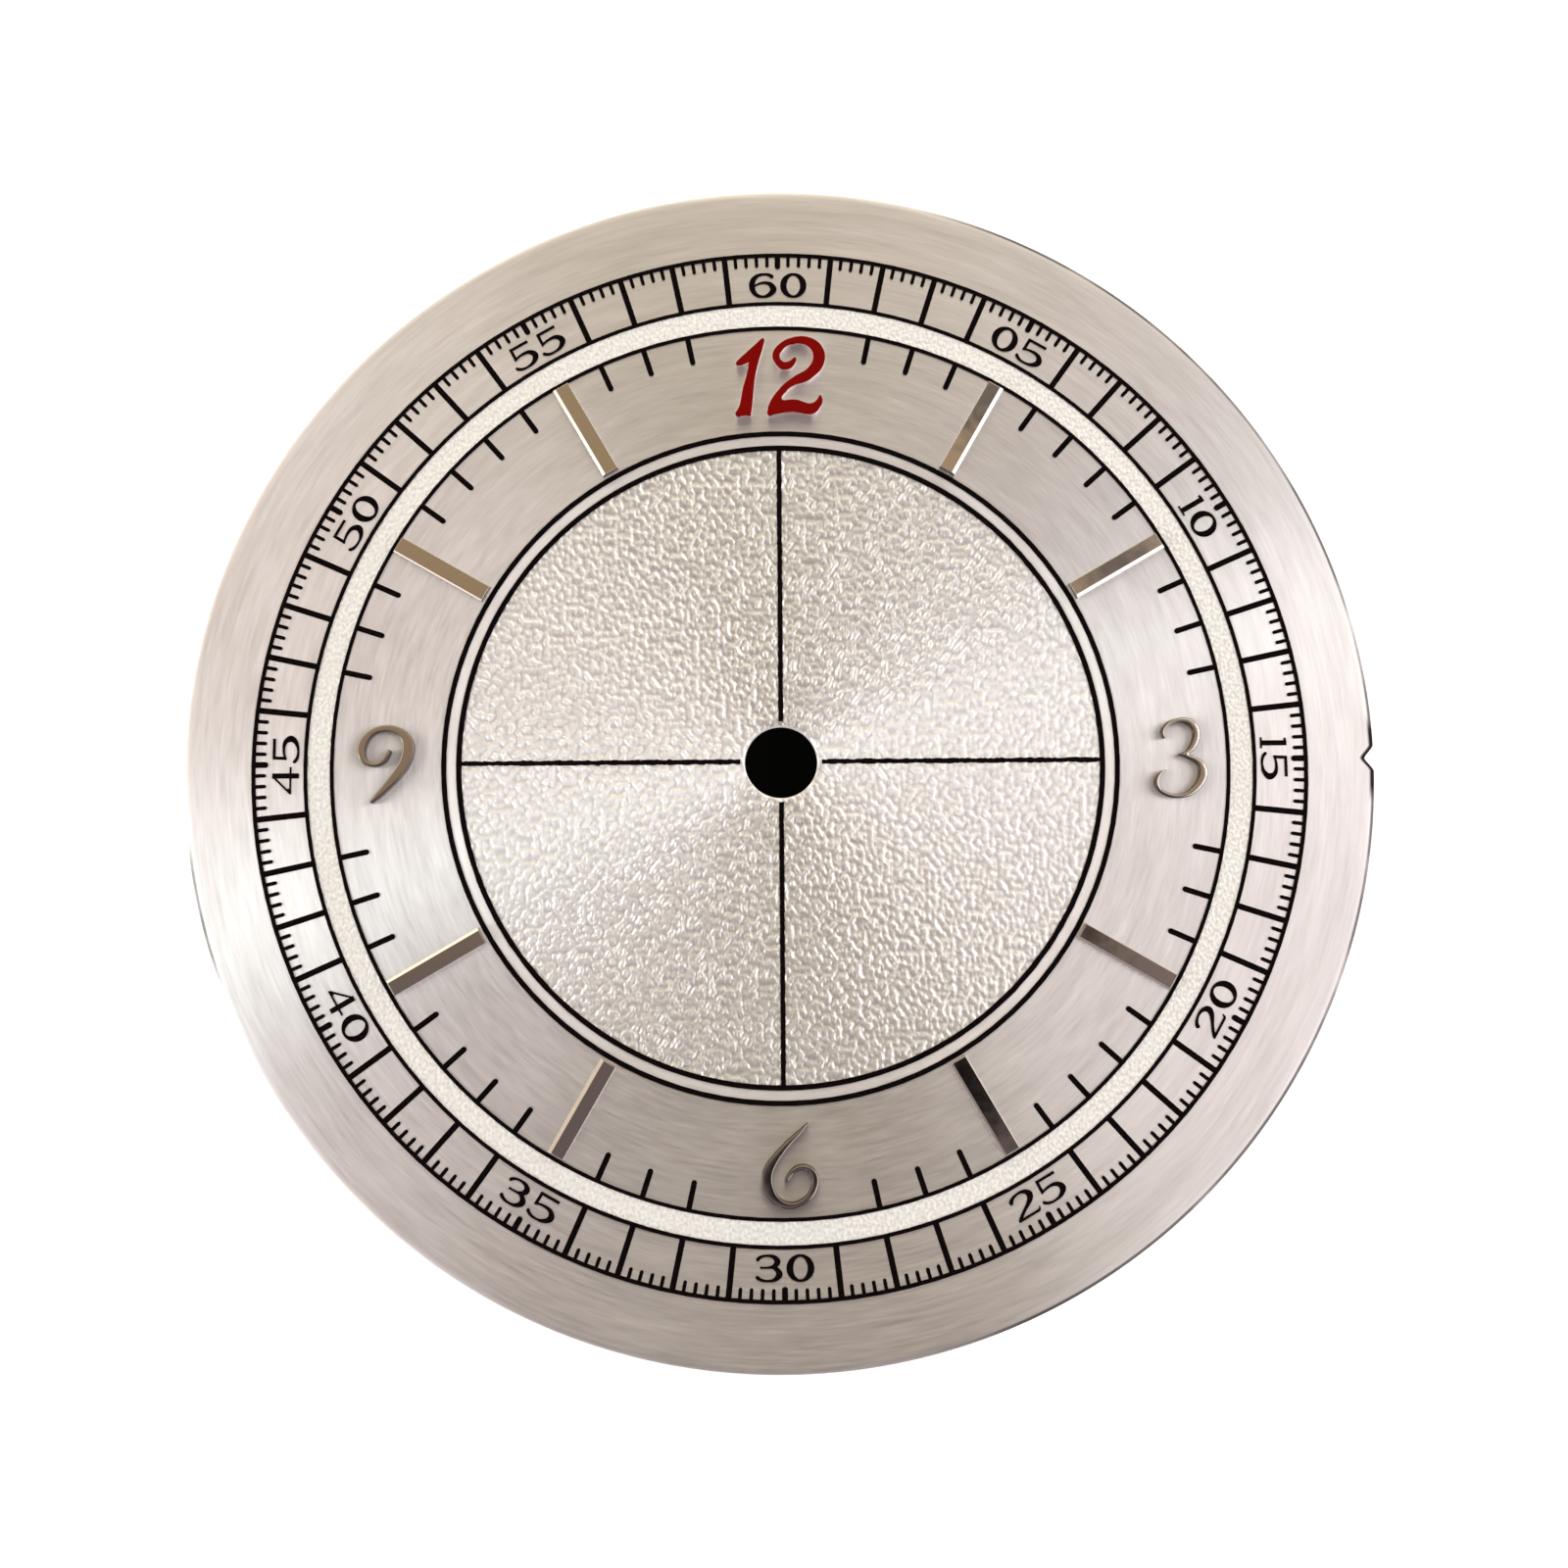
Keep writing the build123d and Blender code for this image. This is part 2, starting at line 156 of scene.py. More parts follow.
def newGroup(kind, name, inputs, outputs):
    # Each socket comes with the value it starts at, or else with its kind
    tree = bpy.data.node_groups.new(name, kind)
    for way, sockets in (("INPUT", inputs), ("OUTPUT", outputs)):
        for socketName, start in sockets.items():
            socketKind = start
            if not isinstance(start, str):
                socketKind = "NodeSocketInt" if isinstance(start, int) else number
            socket = tree.interface.new_socket(socketName, in_out=way, socket_type=socketKind)
            if socketKind != start:
                socket.default_value = start
    return tree, tree.nodes.new("NodeGroupInput").outputs, tree.nodes.new("NodeGroupOutput").inputs


# Shader groups that several finishes use


def turnedGrainGroup():
    # Streaks that run round the dial's axis, as a lathe brush leaves them
    tree, get, out = newGroup("ShaderNodeTree", "turnedGrain", {"Turns": 4.0, "Pitch": 0.05},
                              {"Fine": number, "Broad": number, "Radius": number})
    flat = flatPart(objectPlace(tree))
    radius = sums("DIVIDE", vectors("LENGTH", flat), mm)
    way = vectors("NORMALIZE", flat)
    lines = sums("DIVIDE", radius, get["Pitch"])

    def streaks(turnShare, lineShare, detail, shift):
        around = vectors("SCALE", way, scale=times(get["Turns"], turnShare))
        rise = sums("MULTIPLY_ADD", lines, lineShare, shift)
        return noiseAt(vectors("ADD", around, combine(z=rise)), 1.0, detail, 0.6)

    plug(streaks(1.0, 1.0, 3.0, 0.0), out["Fine"])
    plug(streaks(0.45, 0.22, 2.0, 31.7), out["Broad"])
    plug(radius, out["Radius"])
    return tree


def grainField(place, size, drawn):
    # Soft pebbles of about one size, a little longer along Y
    spot = vectors("MULTIPLY", place, combine(1.0, drawn, 0.0))
    spot = vectors("SCALE", spot, scale=sums("DIVIDE", 1.0, size))
    return spread(noiseAt(spot, 1.0, 0.5))


def frostGrainGroup():
    tree, get, out = newGroup("ShaderNodeTree", "frostGrain", {"Size": 0.1 * mm, "Drawn": 0.6},
                              {"Grain": number})
    plug(grainField(objectPlace(tree), get["Size"], get["Drawn"]), out["Grain"])
    return tree


turnedGrain = turnedGrainGroup()
frostGrain = frostGrainGroup()

# Finishes


def newFinish(name, inputs, anisotropy=0.0):
    finish = bpy.data.materials.new(name)
    finish.use_nodes = True
    tree = finish.node_tree
    tree.nodes.clear()
    shader = addNode(tree, "ShaderNodeBsdfPrincipled", inputs)
    addNode(tree, "ShaderNodeOutputMaterial", {"Surface": shader})
    if anisotropy:
        # The spread lies along the radius, across the brush lines
        shader.inputs["Anisotropic"].default_value = anisotropy
        shader.inputs["Anisotropic Rotation"].default_value = 0.25
        along = addNode(tree, "ShaderNodeTangent", direction_type="RADIAL", axis="Z")
        plug(along, shader.inputs["Tangent"])
    return finish, tree, shader


def dress(shader, tone, roughness, normal, metal=None):
    plug(tone, shader.inputs["Base Color"])
    plug(roughness, shader.inputs["Roughness"])
    plug(normal, shader.inputs["Normal"])
    if metal is not None:
        plug(metal, shader.inputs["Metallic"])


def useGroup(tree, group, **values):
    made = addNode(tree, "ShaderNodeGroup", node_tree=group)
    for name, value in values.items():
        plug(value, made.inputs[name])
    return made.outputs


def bump(height, depth, under=None):
    inputs = {"Height": height, "Distance": depth, "Strength": 1.0}
    if under is not None:
        inputs["Normal"] = under
    return follow("ShaderNodeBump", inputs)[0]


def levelness(tree):
    # 1 where the surface is level, 0 on an upright wall
    return separate(addNode(tree, "ShaderNodeNewGeometry").outputs["Normal"])["Z"]


notchSizes = {"halfWidth": 0.36, "depth": 0.26, "reach": 1.2}  # mm

brushedLook = {
    "light": (0.96, 0.965, 0.985, 1),
    "dark": (0.78, 0.78, 0.79, 1),
    "streaks": (0.32, 0.68),  # between which the streaks go from dark to light
    "hourRing": (9.478, 12.9),  # mm, where the darker hour ring starts and ends
    "hourRingTone": 0.93,
    "gapMetal": 0.74,  # of the narrow ring inside the hour ring
    "roughness": (0.40, 0.50),
    "gapRougher": 0.12,
    "anisotropy": 0.9,
    "turns": 12.0,
    "pitch": 0.085,  # mm between brush lines
    "lineDepth": 0.004 * mm,
    "broadDepth": 0.012 * mm,
}
rimShadeLook = {
    "line": (16.62, 16.68),  # mm, where the rolled edge's painted dark line of shade starts and is full
    "tone": (0.16, 0.155, 0.155, 1),
    "right": (3.0 * mm, 7.0 * mm),  # the line comes in between these two places to the right
    "leftSpot": (-16.2 * mm, -4.3 * mm, faceLevel * mm),
    "leftReach": (1.2 * mm, 3.0 * mm),
    "mottle": 420.0,  # to the metre
    "faintest": 0.45,
    "notchShade": (16.56, 16.65),  # mm, the same for the painted shade at the notch
    "notchShadeReach": (0.75 * mm, 1.35 * mm),
    "notchShadeTone": (0.02, 0.018, 0.018, 1),
}


def paintedRimShade(place, radius):
    # Painted shade on the rolled edge: a dark line, left light at the upper left and dark over the rest,
    # unevenly
    look = rimShadeLook
    line = soften(radius, *look["line"])
    right = soften(separate(place)["X"], *look["right"])
    left = vectors("DISTANCE", place, look["leftSpot"])
    left = soften(left, *look["leftReach"], 1.0, 0.0)
    uneven = remap(noiseAt(place, look["mottle"], 3.0), 0.3, 0.55, look["faintest"], 1.0)
    return times(line, times(sums("MAXIMUM", right, left), uneven))


def paintedNotchShade(place, radius):
    # Painted shade at the filed notch: dark along its V and on either side of it
    look = rimShadeLook
    split = separate(place)
    beside = sums("ABSOLUTE", split["Y"])
    near = soften(beside, *look["notchShadeReach"], 1.0, 0.0)
    onRight = sums("GREATER_THAN", split["X"], 0.0)
    half = notchSizes["halfWidth"] * mm
    share = plus(remap(beside, 0.0, half, 1.0, 0.0), soften(beside, 0.0, half, 1.0, 0.0))
    level = sums("MULTIPLY_ADD", share, notchSizes["depth"] / 2, radius)
    return times(times(near, onRight), soften(level, *look["notchShade"]))


def brushedSilver():
    look = brushedLook
    finish, tree, shader = newFinish("brushedSilver", {}, look["anisotropy"])
    grain = useGroup(tree, turnedGrain, Turns=look["turns"], Pitch=look["pitch"])
    fine, broad, radius = grain["Fine"], grain["Broad"], grain["Radius"]
    tone = mixColour(remap(average(fine, broad), *look["streaks"]), look["dark"], look["light"])
    inside = sums("LESS_THAN", radius, look["hourRing"][0])
    outside = sums("GREATER_THAN", radius, look["hourRing"][1])
    ringTone = remap(plus(inside, outside), 0.0, 1.0, look["hourRingTone"], 1.0)
    tone = vectors("SCALE", tone, scale=ringTone)
    place = objectPlace(tree)
    # Painted shade: the rolled edge's dark line
    tone = mixColour(paintedRimShade(place, radius), tone, rimShadeLook["tone"])
    # Painted shade along the notch and beside it
    tone = mixColour(paintedNotchShade(place, radius), tone, rimShadeLook["notchShadeTone"])
    rough = plus(spread(fine, *look["roughness"]), times(inside, look["gapRougher"]))
    normal = bump(broad, look["broadDepth"], bump(fine, look["lineDepth"]))
    dress(shader, tone, rough, normal, remap(inside, 0.0, 1.0, 1.0, look["gapMetal"]))
    return finish


centreFrosting = {
    "light": (0.97, 1.0, 1.0, 1),
    "dark": (0.635, 0.635, 0.64, 1),
    "metal": 0.84,
    "roughness": (0.49, 0.37),  # in the hollows and on the grains
    "anisotropy": 0.9,
    "grain": 0.145 * mm,
    "drawn": 0.78,
    "depth": 0.024 * mm,  # of the fine bumps
    "relief": 0.010 * mm,  # of the mesh
    "fade": 0.10 * mm,
}
ringFrosting = {
    "light": (0.86, 0.89, 0.88, 1),
    "dark": (0.64, 0.66, 0.65, 1),
    "metal": 0.35,
    "roughness": (0.63, 0.51),
    "anisotropy": 0.0,
    "grain": 0.085 * mm,
    "drawn": 0.8,
    "depth": 0.012 * mm,
    "relief": 0.008 * mm,
    "fade": 0.06 * mm,
}


def frostedSilver(name, look):
    finish, tree, shader = newFinish(name, {"Metallic": look["metal"]}, look["anisotropy"])
    grain = useGroup(tree, frostGrain, Size=look["grain"], Drawn=look["drawn"])[0]
    # The grain is darker in its hollows and lighter on its tops: partly the frosting's own tone, partly
    # painted shade and highlight
    tone = mixColour(grain, look["dark"], look["light"])
    dress(shader, tone, remap(grain, 0.0, 1.0, *look["roughness"]), bump(grain, look["depth"]))
    return finish


platingLook = {
    "light": (0.80, 0.77, 0.73, 1),
    "dark": (0.66, 0.62, 0.57, 1),
    "roughness": (0.32, 0.46),
    "rolling": (900.0, 26000.0, 900.0),  # to the metre, straight lines of the rolled sheet
    "rollingDepth": 0.001 * mm,
    "stains": 320.0,
}


def backPlating():
    look = platingLook
    finish, tree, shader = newFinish("backPlating", {"Metallic": 1.0})
    place = objectPlace(tree)
    lines = noiseAt(vectors("MULTIPLY", place, look["rolling"]), 1.0, 3.0)
    stains = noiseAt(place, look["stains"], 3.0)
    tone = mixColour(spread(average(lines, stains)), look["dark"], look["light"])
    dress(shader, tone, spread(stains, *look["roughness"]), bump(lines, look["rollingDepth"]))
    return finish


markerLook = {
    "top": (0.80, 0.755, 0.69, 1),
    "upright": (0.10, 0.30),  # how level a spot is where the walls end
    "roughness": (0.035, 0.085),
    "edgeRougher": 0.12,
    "haze": 2600.0,  # to the metre
    "scratches": (9000.0, 52000.0, 9000.0),
    "scratchDepth": 0.00012 * mm,
    "waves": 1500.0,
    "waveDepth": 0.004 * mm,
}
# The painted shade of the sloping edges and the upright walls, and how level a spot is where the edges give
# way to the top
batonEdgeShade = {"side": (0.45, 0.41, 0.37, 1), "wall": (0.72, 0.70, 0.68, 1), "edge": (0.80, 0.92)}
numeralEdgeShade = {"side": (0.045, 0.032, 0.028, 1), "wall": (0.17, 0.135, 0.115, 1), "edge": (0.89, 0.985)}


def polishedMarker(name, edgeShade):
    look = markerLook
    finish, tree, shader = newFinish(name, {"Metallic": 1.0})
    place = objectPlace(tree)
    level = levelness(tree)
    topness = soften(level, *edgeShade["edge"])
    upright = soften(level, *look["upright"], 1.0, 0.0)
    # The sloping edges and the upright walls take darker tones than the top: painted shade
    tone = mixColour(upright, mixColour(topness, edgeShade["side"], look["top"]), edgeShade["wall"])
    shine = spread(noiseAt(place, look["haze"], 3.0), *look["roughness"])
    shine = plus(shine, remap(topness, 0.0, 1.0, look["edgeRougher"], 0.0))
    # Hand polishing leaves the tops a little wavy
    normal = bump(noiseAt(place, look["waves"], 1.0), look["waveDepth"])
    scratch = noiseAt(vectors("MULTIPLY", place, look["scratches"]), 1.0, 2.0)
    dress(shader, tone, shine, bump(scratch, look["scratchDepth"], normal))
    return finish


lacquerLook = {
    "face": (0.17, 0.0012, 0.001, 1),
    "edge": (0.095, 0.0004, 0.0004, 1),
    "wall": (0.93, 0.80, 0.78, 1),
    "rounding": (0.55, 0.98),  # how level a spot is where the painted shade of the edge ends
    "bare": (0.05, 0.20),  # and where the bare walls end
    "roughness": (0.25, 0.35),
    "flow": 5200.0,  # to the metre
    "flowTone": 0.3,
    "flowDepth": 0.002 * mm,
}


def redLacquer():
    look = lacquerLook
    finish, tree, shader = newFinish(
        "redLacquer", {"Coat Weight": 0.06, "Coat Roughness": 0.08, "Specular IOR Level": 0.05})
    flow = noiseAt(objectPlace(tree), look["flow"], 2.0)
    level = levelness(tree)
    # Darker red towards the rounded edges: painted shade
    tone = mixColour(soften(level, *look["rounding"]), look["edge"], look["face"])
    tone = mixColour(remap(flow, 0.35, 0.7, 0.0, look["flowTone"]), tone, look["edge"])
    # The lacquer stops at the edge, the upright walls are bare metal
    bare = soften(level, *look["bare"], 1.0, 0.0)
    tone = mixColour(bare, tone, look["wall"])
    dress(shader, tone, spread(flow, *look["roughness"]), bump(flow, look["flowDepth"]), bare)
    return finish


inkLook = {
    "deep": (0.002, 0.001, 0.0013, 1),
    "worn": (0.005, 0.003, 0.0035, 1),
    "roughness": (0.54, 0.68),
    "wear": 9000.0,  # to the metre
    "wearDepth": 0.003 * mm,
}


def blackInk():
    look = inkLook
    finish, tree, shader = newFinish("blackInk", {"Specular IOR Level": 0.02})
    wear = noiseAt(objectPlace(tree), look["wear"], 3.0)
    tone = mixColour(remap(wear, 0.35, 0.7), look["deep"], look["worn"])
    dress(shader, tone, spread(wear, *look["roughness"]), bump(wear, look["wearDepth"]))
    return finish


footLook = {
    "wire": (0.78, 0.47, 0.32, 1),
    "tarnish": (0.44, 0.24, 0.15, 1),
    "roughness": (0.24, 0.44),
    "tarnishSize": 1500.0,  # to the metre
    "drawing": (24000.0, 24000.0, 900.0),  # lines left by the drawing of the wire
    "drawingDepth": 0.002 * mm,
}


def copperFoot():
    look = footLook
    finish, tree, shader = newFinish("copperFoot", {"Metallic": 1.0})
    place = objectPlace(tree)
    drawn = noiseAt(vectors("MULTIPLY", place, look["drawing"]), 1.0, 2.0)
    tarnish = noiseAt(place, look["tarnishSize"], 4.0)
    tone = mixColour(remap(tarnish, 0.45, 0.75), look["wire"], look["tarnish"])
    dress(shader, tone, spread(tarnish, *look["roughness"]), bump(drawn, look["drawingDepth"]))
    return finish


brushed, plating = brushedSilver(), backPlating()
frostedFace = frostedSilver("frostedFace", centreFrosting)
frostedBand = frostedSilver("frostedBand", ringFrosting)
batonPolish = polishedMarker("batonPolish", batonEdgeShade)
numeralPolish = polishedMarker("numeralPolish", numeralEdgeShade)
lacquer, ink, copper = redLacquer(), blackInk(), copperFoot()
print("finishes made")

# Geometry node trees


def turningTree():
    # Turns the object's own section round Z, then sinks the face between the grains of a frosting
    tree, get, out = newGroup(
        "GeometryNodeTree", "turning",
        {"Geometry": geometry, "Columns": 256, "Hub Radius": mm, "Sharp Angle": math.radians(40),
         "Inner Radius": mm, "Outer Radius": 9 * mm, "Level": faceLevel * mm, "Fade": 0.08 * mm,
         "Relief Depth": 0.0, "Grain Size": 0.1 * mm, "Drawn": 0.6, "Face From": 0.3 * mm,
         "Face Material": material, "Body Material": material},
        {"Geometry": geometry},
    )
    section = addNode(tree, "GeometryNodeMeshToCurve", {0: get["Geometry"]})
    path = addNode(tree, "GeometryNodeCurvePrimitiveCircle",
                   {"Resolution": get["Columns"], "Radius": get["Hub Radius"]})
    solid = addNode(tree, "GeometryNodeCurveToMesh", {0: path, 1: section})
    smooth = addNode(tree, "GeometryNodeSetShadeSmooth", {0: solid})
    corner = addNode(tree, "GeometryNodeInputMeshEdgeAngle").outputs[0]
    isCorner = sums("GREATER_THAN", corner, get["Sharp Angle"])
    creased = addNode(tree, "GeometryNodeSetShadeSmooth", {0: smooth, 1: isCorner, 2: False}, domain="EDGE")

    place = addNode(tree, "GeometryNodeInputPosition").outputs[0]
    grain = grainField(place, get["Grain Size"], get["Drawn"])
    radius = vectors("LENGTH", flatPart(place))
    height = separate(place)["Z"]
    inner = sums("DIVIDE", minus(radius, get["Inner Radius"]), get["Fade"], clamp=True)
    outer = sums("DIVIDE", minus(get["Outer Radius"], radius), get["Fade"], clamp=True)
    onLevel = sums("GREATER_THAN", height, minus(get["Level"], 0.001 * mm))
    share = times(times(inner, outer), onLevel)
    sink = times(minus(grain, 1.0), get["Relief Depth"])
    lift = combine(z=times(sink, share))
    frosted = addNode(tree, "GeometryNodeSetPosition", {0: creased, "Offset": lift})

    real = addNode(tree, "GeometryNodeRealizeInstances", {0: frosted})
    body = addNode(tree, "GeometryNodeSetMaterial", {0: real, "Material": get["Body Material"]})
    onFace = sums("GREATER_THAN", height, get["Face From"])
    faced = addNode(tree, "GeometryNodeSetMaterial",
                    {0: body, "Selection": onFace, "Material": get["Face Material"]})
    plug(faced, out[0])
    return tree


def batonTree():
    # A bar with a bevelled top and two pins, set at its hour
    tree, get, out = newGroup(
        "GeometryNodeTree", "hourBaton",
        {"Geometry": geometry, "Clock Angle": 0.0, "Inner Radius": 9.6 * mm, "Length": 2.9 * mm,
         "Width": 0.49 * mm, "Height": 0.26 * mm, "Left Facet": 0.02 * mm, "Right Facet": 0.02 * mm,
         "End Facet": 0.02 * mm, "Facet Drop": 0.03 * mm, "Level": faceLevel * mm, "Pin Radius": 0.15 * mm,
         "Pin Inset": 0.55 * mm, "Pin Length": 0.37 * mm, "Pin Overlap": 0.05 * mm, "Finish": material},
        {"Geometry": geometry},
    )
    wall = minus(get["Height"], get["Facet Drop"])
    bar = addNode(tree, "GeometryNodeMeshCube", {"Size": combine(get["Width"], get["Length"], wall)})
    facing = separate(addNode(tree, "GeometryNodeInputNormal"))["Z"]
    isTop = sums("GREATER_THAN", facing, 0.5)
    raised = addNode(tree, "GeometryNodeExtrudeMesh",
                     {"Mesh": bar, "Selection": isTop, "Offset": (0.0, 0.0, 1.0),
                      "Offset Scale": get["Facet Drop"], "Individual": False}, mode="FACES").outputs
    spot = separate(addNode(tree, "GeometryNodeInputPosition"))
    onRight = sums("GREATER_THAN", spot["X"], 0.0)
    left = times(minus(1.0, onRight), get["Left Facet"])
    across = minus(left, times(onRight, get["Right Facet"]))
    along = times(sums("SIGN", spot["Y"]), times(get["End Facet"], -1.0))
    topped = addNode(tree, "GeometryNodeSetPosition",
                     {0: raised["Mesh"], "Selection": raised["Top"], "Offset": combine(across, along)})
    reach = sums("MULTIPLY_ADD", get["Length"], 0.5, get["Inner Radius"])
    middle = sums("MULTIPLY_ADD", wall, 0.5, get["Level"])
    bedded = addNode(tree, "GeometryNodeTransform", {0: topped, "Translation": combine(y=reach, z=middle)})
    pinRun = plus(get["Pin Length"], get["Pin Overlap"])
    pinTop = plus(get["Level"], get["Pin Overlap"])
    pinMiddle = minus(pinTop, times(pinRun, 0.5))
    parts = [bedded]
    for fromEnd in (get["Pin Inset"], minus(get["Length"], get["Pin Inset"])):
        pin = addNode(tree, "GeometryNodeMeshCylinder",
                      {"Vertices": 28, "Radius": get["Pin Radius"], "Depth": pinRun})
        spot = combine(y=plus(get["Inner Radius"], fromEnd), z=pinMiddle)
        parts.append(addNode(tree, "GeometryNodeTransform", {0: pin.outputs[0], "Translation": spot}))
    joined = addNode(tree, "GeometryNodeJoinGeometry")
    for part in parts:
        tree.links.new(part.outputs[0], joined.inputs[0])
    turn = combine(z=times(get["Clock Angle"], -1.0))
    turned = addNode(tree, "GeometryNodeTransform", {0: joined, "Rotation": turn})
    smooth = addNode(tree, "GeometryNodeSetShadeSmooth", {0: turned})
    real = addNode(tree, "GeometryNodeRealizeInstances", {0: smooth})
    plug(addNode(tree, "GeometryNodeSetMaterial", {0: real, "Material": get["Finish"]}), out[0])
    return tree


turning, hourBaton = turningTree(), batonTree()


def addNodesModifier(piece, tree, values):
    modifier = piece.modifiers.new(tree.name, "NODES")
    modifier.node_group = tree
    sockets = {item.name: item.identifier for item in tree.interface.items_tree
               if item.item_type == "SOCKET" and item.in_out == "INPUT"}
    for name, value in values.items():
        modifier[sockets[name]] = value


def settle(piece):
    # Turns the piece's evaluated geometry into a plain mesh and drops its modifiers
    bpy.context.view_layer.update()
    graph = bpy.context.evaluated_depsgraph_get()
    mesh = bpy.data.meshes.new_from_object(piece.evaluated_get(graph))
    mesh.name = piece.name
    piece.modifiers.clear()
    piece.data = mesh
    return piece


def newPiece(name, points, edges, faces):
    mesh = bpy.data.meshes.new(name)
    mesh.from_pydata(points, edges, faces)
    mesh.update()
    piece = bpy.data.objects.new(name, mesh)
    scene.collection.objects.link(piece)
    return piece


def turnedPiece(name, section, columns, faceMaterial, bodyMaterial, faceFrom, relief=None):
    # section: (radius, height) in mm round the piece's outline: out along its back, up, back in and down
    hub = 1.0
    points = [((radius - hub) * mm, -height * mm, 0.0) for radius, height in reversed(section)]
    edges = [(i, (i + 1) % len(points)) for i in range(len(points))]
    piece = newPiece(name, points, edges, [])
    values = {"Columns": columns, "Hub Radius": hub * mm, "Face Material": faceMaterial,
              "Body Material": bodyMaterial, "Face From": faceFrom * mm}
    values.update(relief or {})
    addNodesModifier(piece, turning, values)
    return settle(piece)


def stepsBetween(start, end, count):
    return [start + (end - start) * i / count for i in range(count)]


def reliefOf(look, inner, outer):
    # A frosting's relief in the mesh, between two radii in mm
    return {"Inner Radius": inner * mm, "Outer Radius": outer * mm, "Fade": look["fade"],
            "Relief Depth": look["relief"], "Grain Size": look["grain"], "Drawn": look["drawn"]}


# Plate: the blank, the frosted ring let into it and the frosted centre

# Radii and heights in mm
plateSizes = {
    "rim": 16.749,
    # In from the rim, down from the face
    "rimRound": ((0.012, 0.048), (0.04, 0.028), (0.09, 0.012), (0.15, 0.003), (0.22, 0.0), (0.5, 0.0)),
    "wallRows": (0.04, 0.18, 0.33),
    "backRows": (12.0, 15.4),
    "edgeRows": (0.25, 0.04),  # in from the rim
    "brimRow": 15.6,
    "minuteOuter": 14.805,
    "trackRow": 14.1,
    "minuteInner": 13.353,
    "hourCircle": 12.615,
    "hourRows": (11.6, 10.5),
    "sectorOuter": 9.478,
    "sectorInner": 9.055,
    "sectorStep": 0.2,
    "hole": 1.025,
    "holeRound": ((0.10, 0.0), (0.05, 0.012), (0.012, 0.04), (0.0, 0.07)),  # out, down
    "centreRows": (3.0, 6.0),
    "seatDepth": 0.12,  # how deep the frosted ring is let in
    "brushedFrom": 0.335,
    "frostedFrom": 0.3,
    "columns": 720,
    "ringColumns": 1500,
    "centreColumns": 820,
    "grainStep": 0.076,
    "grainMargin": 0.01,  # between the hole's rounding and the first grains
    "pinClearance": 0.02,
    "pinDepth": 0.385,
    "socketRadius": 0.645,
    "socketDepth": 0.15,
}


def blankSection():
    s, top = plateSizes, faceLevel
    rim, seat = s["rim"], top - s["seatDepth"]
    section = [(s["sectorInner"], 0.0)] + [(radius, 0.0) for radius in s["backRows"]]
    section += [(rim - inward, 0.0) for inward in s["edgeRows"]]
    section += [(rim, height) for height in s["wallRows"]]
    section += [(rim - inward, top - down) for inward, down in s["rimRound"]]
    section += [(radius, top) for radius in (s["brimRow"], s["minuteOuter"], s["trackRow"])]
    section += [(s["minuteInner"], top), (s["minuteInner"], seat)]
    section += [(s["hourCircle"], seat), (s["hourCircle"], top)]
    section += [(radius, top) for radius in (*s["hourRows"], s["sectorOuter"], s["sectorInner"])]
    return section + [(s["sectorInner"], s["sectorStep"])]


def crowdColumns(piece, crowd=0.72):
    # Gathers the columns of points towards 3 o'clock, where the notch needs them
    for vertex in piece.data.vertices:
        x, y = vertex.co.x, vertex.co.y
        radius, angle = math.hypot(x, y), math.atan2(y, x)
        angle -= crowd * math.sin(angle)
        vertex.co.x, vertex.co.y = radius * math.cos(angle), radius * math.sin(angle)


def cutNotch(piece):
    # The rim is drawn in to a small V with eased shoulders
    rim, reach = plateSizes["rim"] * mm, notchSizes["reach"] * mm
    half, depth = notchSizes["halfWidth"] * mm, notchSizes["depth"] * mm
    for vertex in piece.data.vertices:
        x, y = vertex.co.x, vertex.co.y
        if x < 0 or abs(y) > half:
            continue
        radius = math.hypot(x, y)
        share = 1 - abs(y) / half
        share = (share * share * (3 - 2 * share) + share) * 0.5
        rimShare = max(0.0, 1 - (rim - radius) / reach)
        shrink = 1 - depth * share * rimShare / radius
        vertex.co.x, vertex.co.y = x * shrink, y * shrink


pinEnds = {"below": 0.05, "apart": 0.35}  # mm, how a packed marker's pins are told from the rest


def lowSpots(name):
    # Middles and radii of a packed marker's pins, found at their lower ends
    spots = []
    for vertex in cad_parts[name].data.vertices:
        if vertex.co.z < pinEnds["below"] * mm:
            group = next((g for g in spots if (g[0] - vertex.co).length < pinEnds["apart"] * mm), None)
            if group is None:
                spots.append([vertex.co.copy()])
            else:
                group.append(vertex.co.copy())
    middles = []
    for group in spots:
        xs, ys = [co.x for co in group], [co.y for co in group]
        middles.append(((min(xs) + max(xs)) / 2, (min(ys) + max(ys)) / 2, (max(xs) - min(xs)) / 2))
    return middles


markerNames = [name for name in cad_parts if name.startswith(("baton_", "numeral_"))]
footNames = ["dial_foot_upper", "dial_foot_lower"]


def addUpright(shape, x, y, radius, low, high, sides):
    # A closed upright cylinder in a bmesh, low and high in mm
    bmesh.ops.create_cone(shape, cap_ends=True, segments=sides, radius1=radius, radius2=radius,
                          depth=(high - low) * mm, matrix=Matrix.Translation((x, y, (low + high) / 2 * mm)))


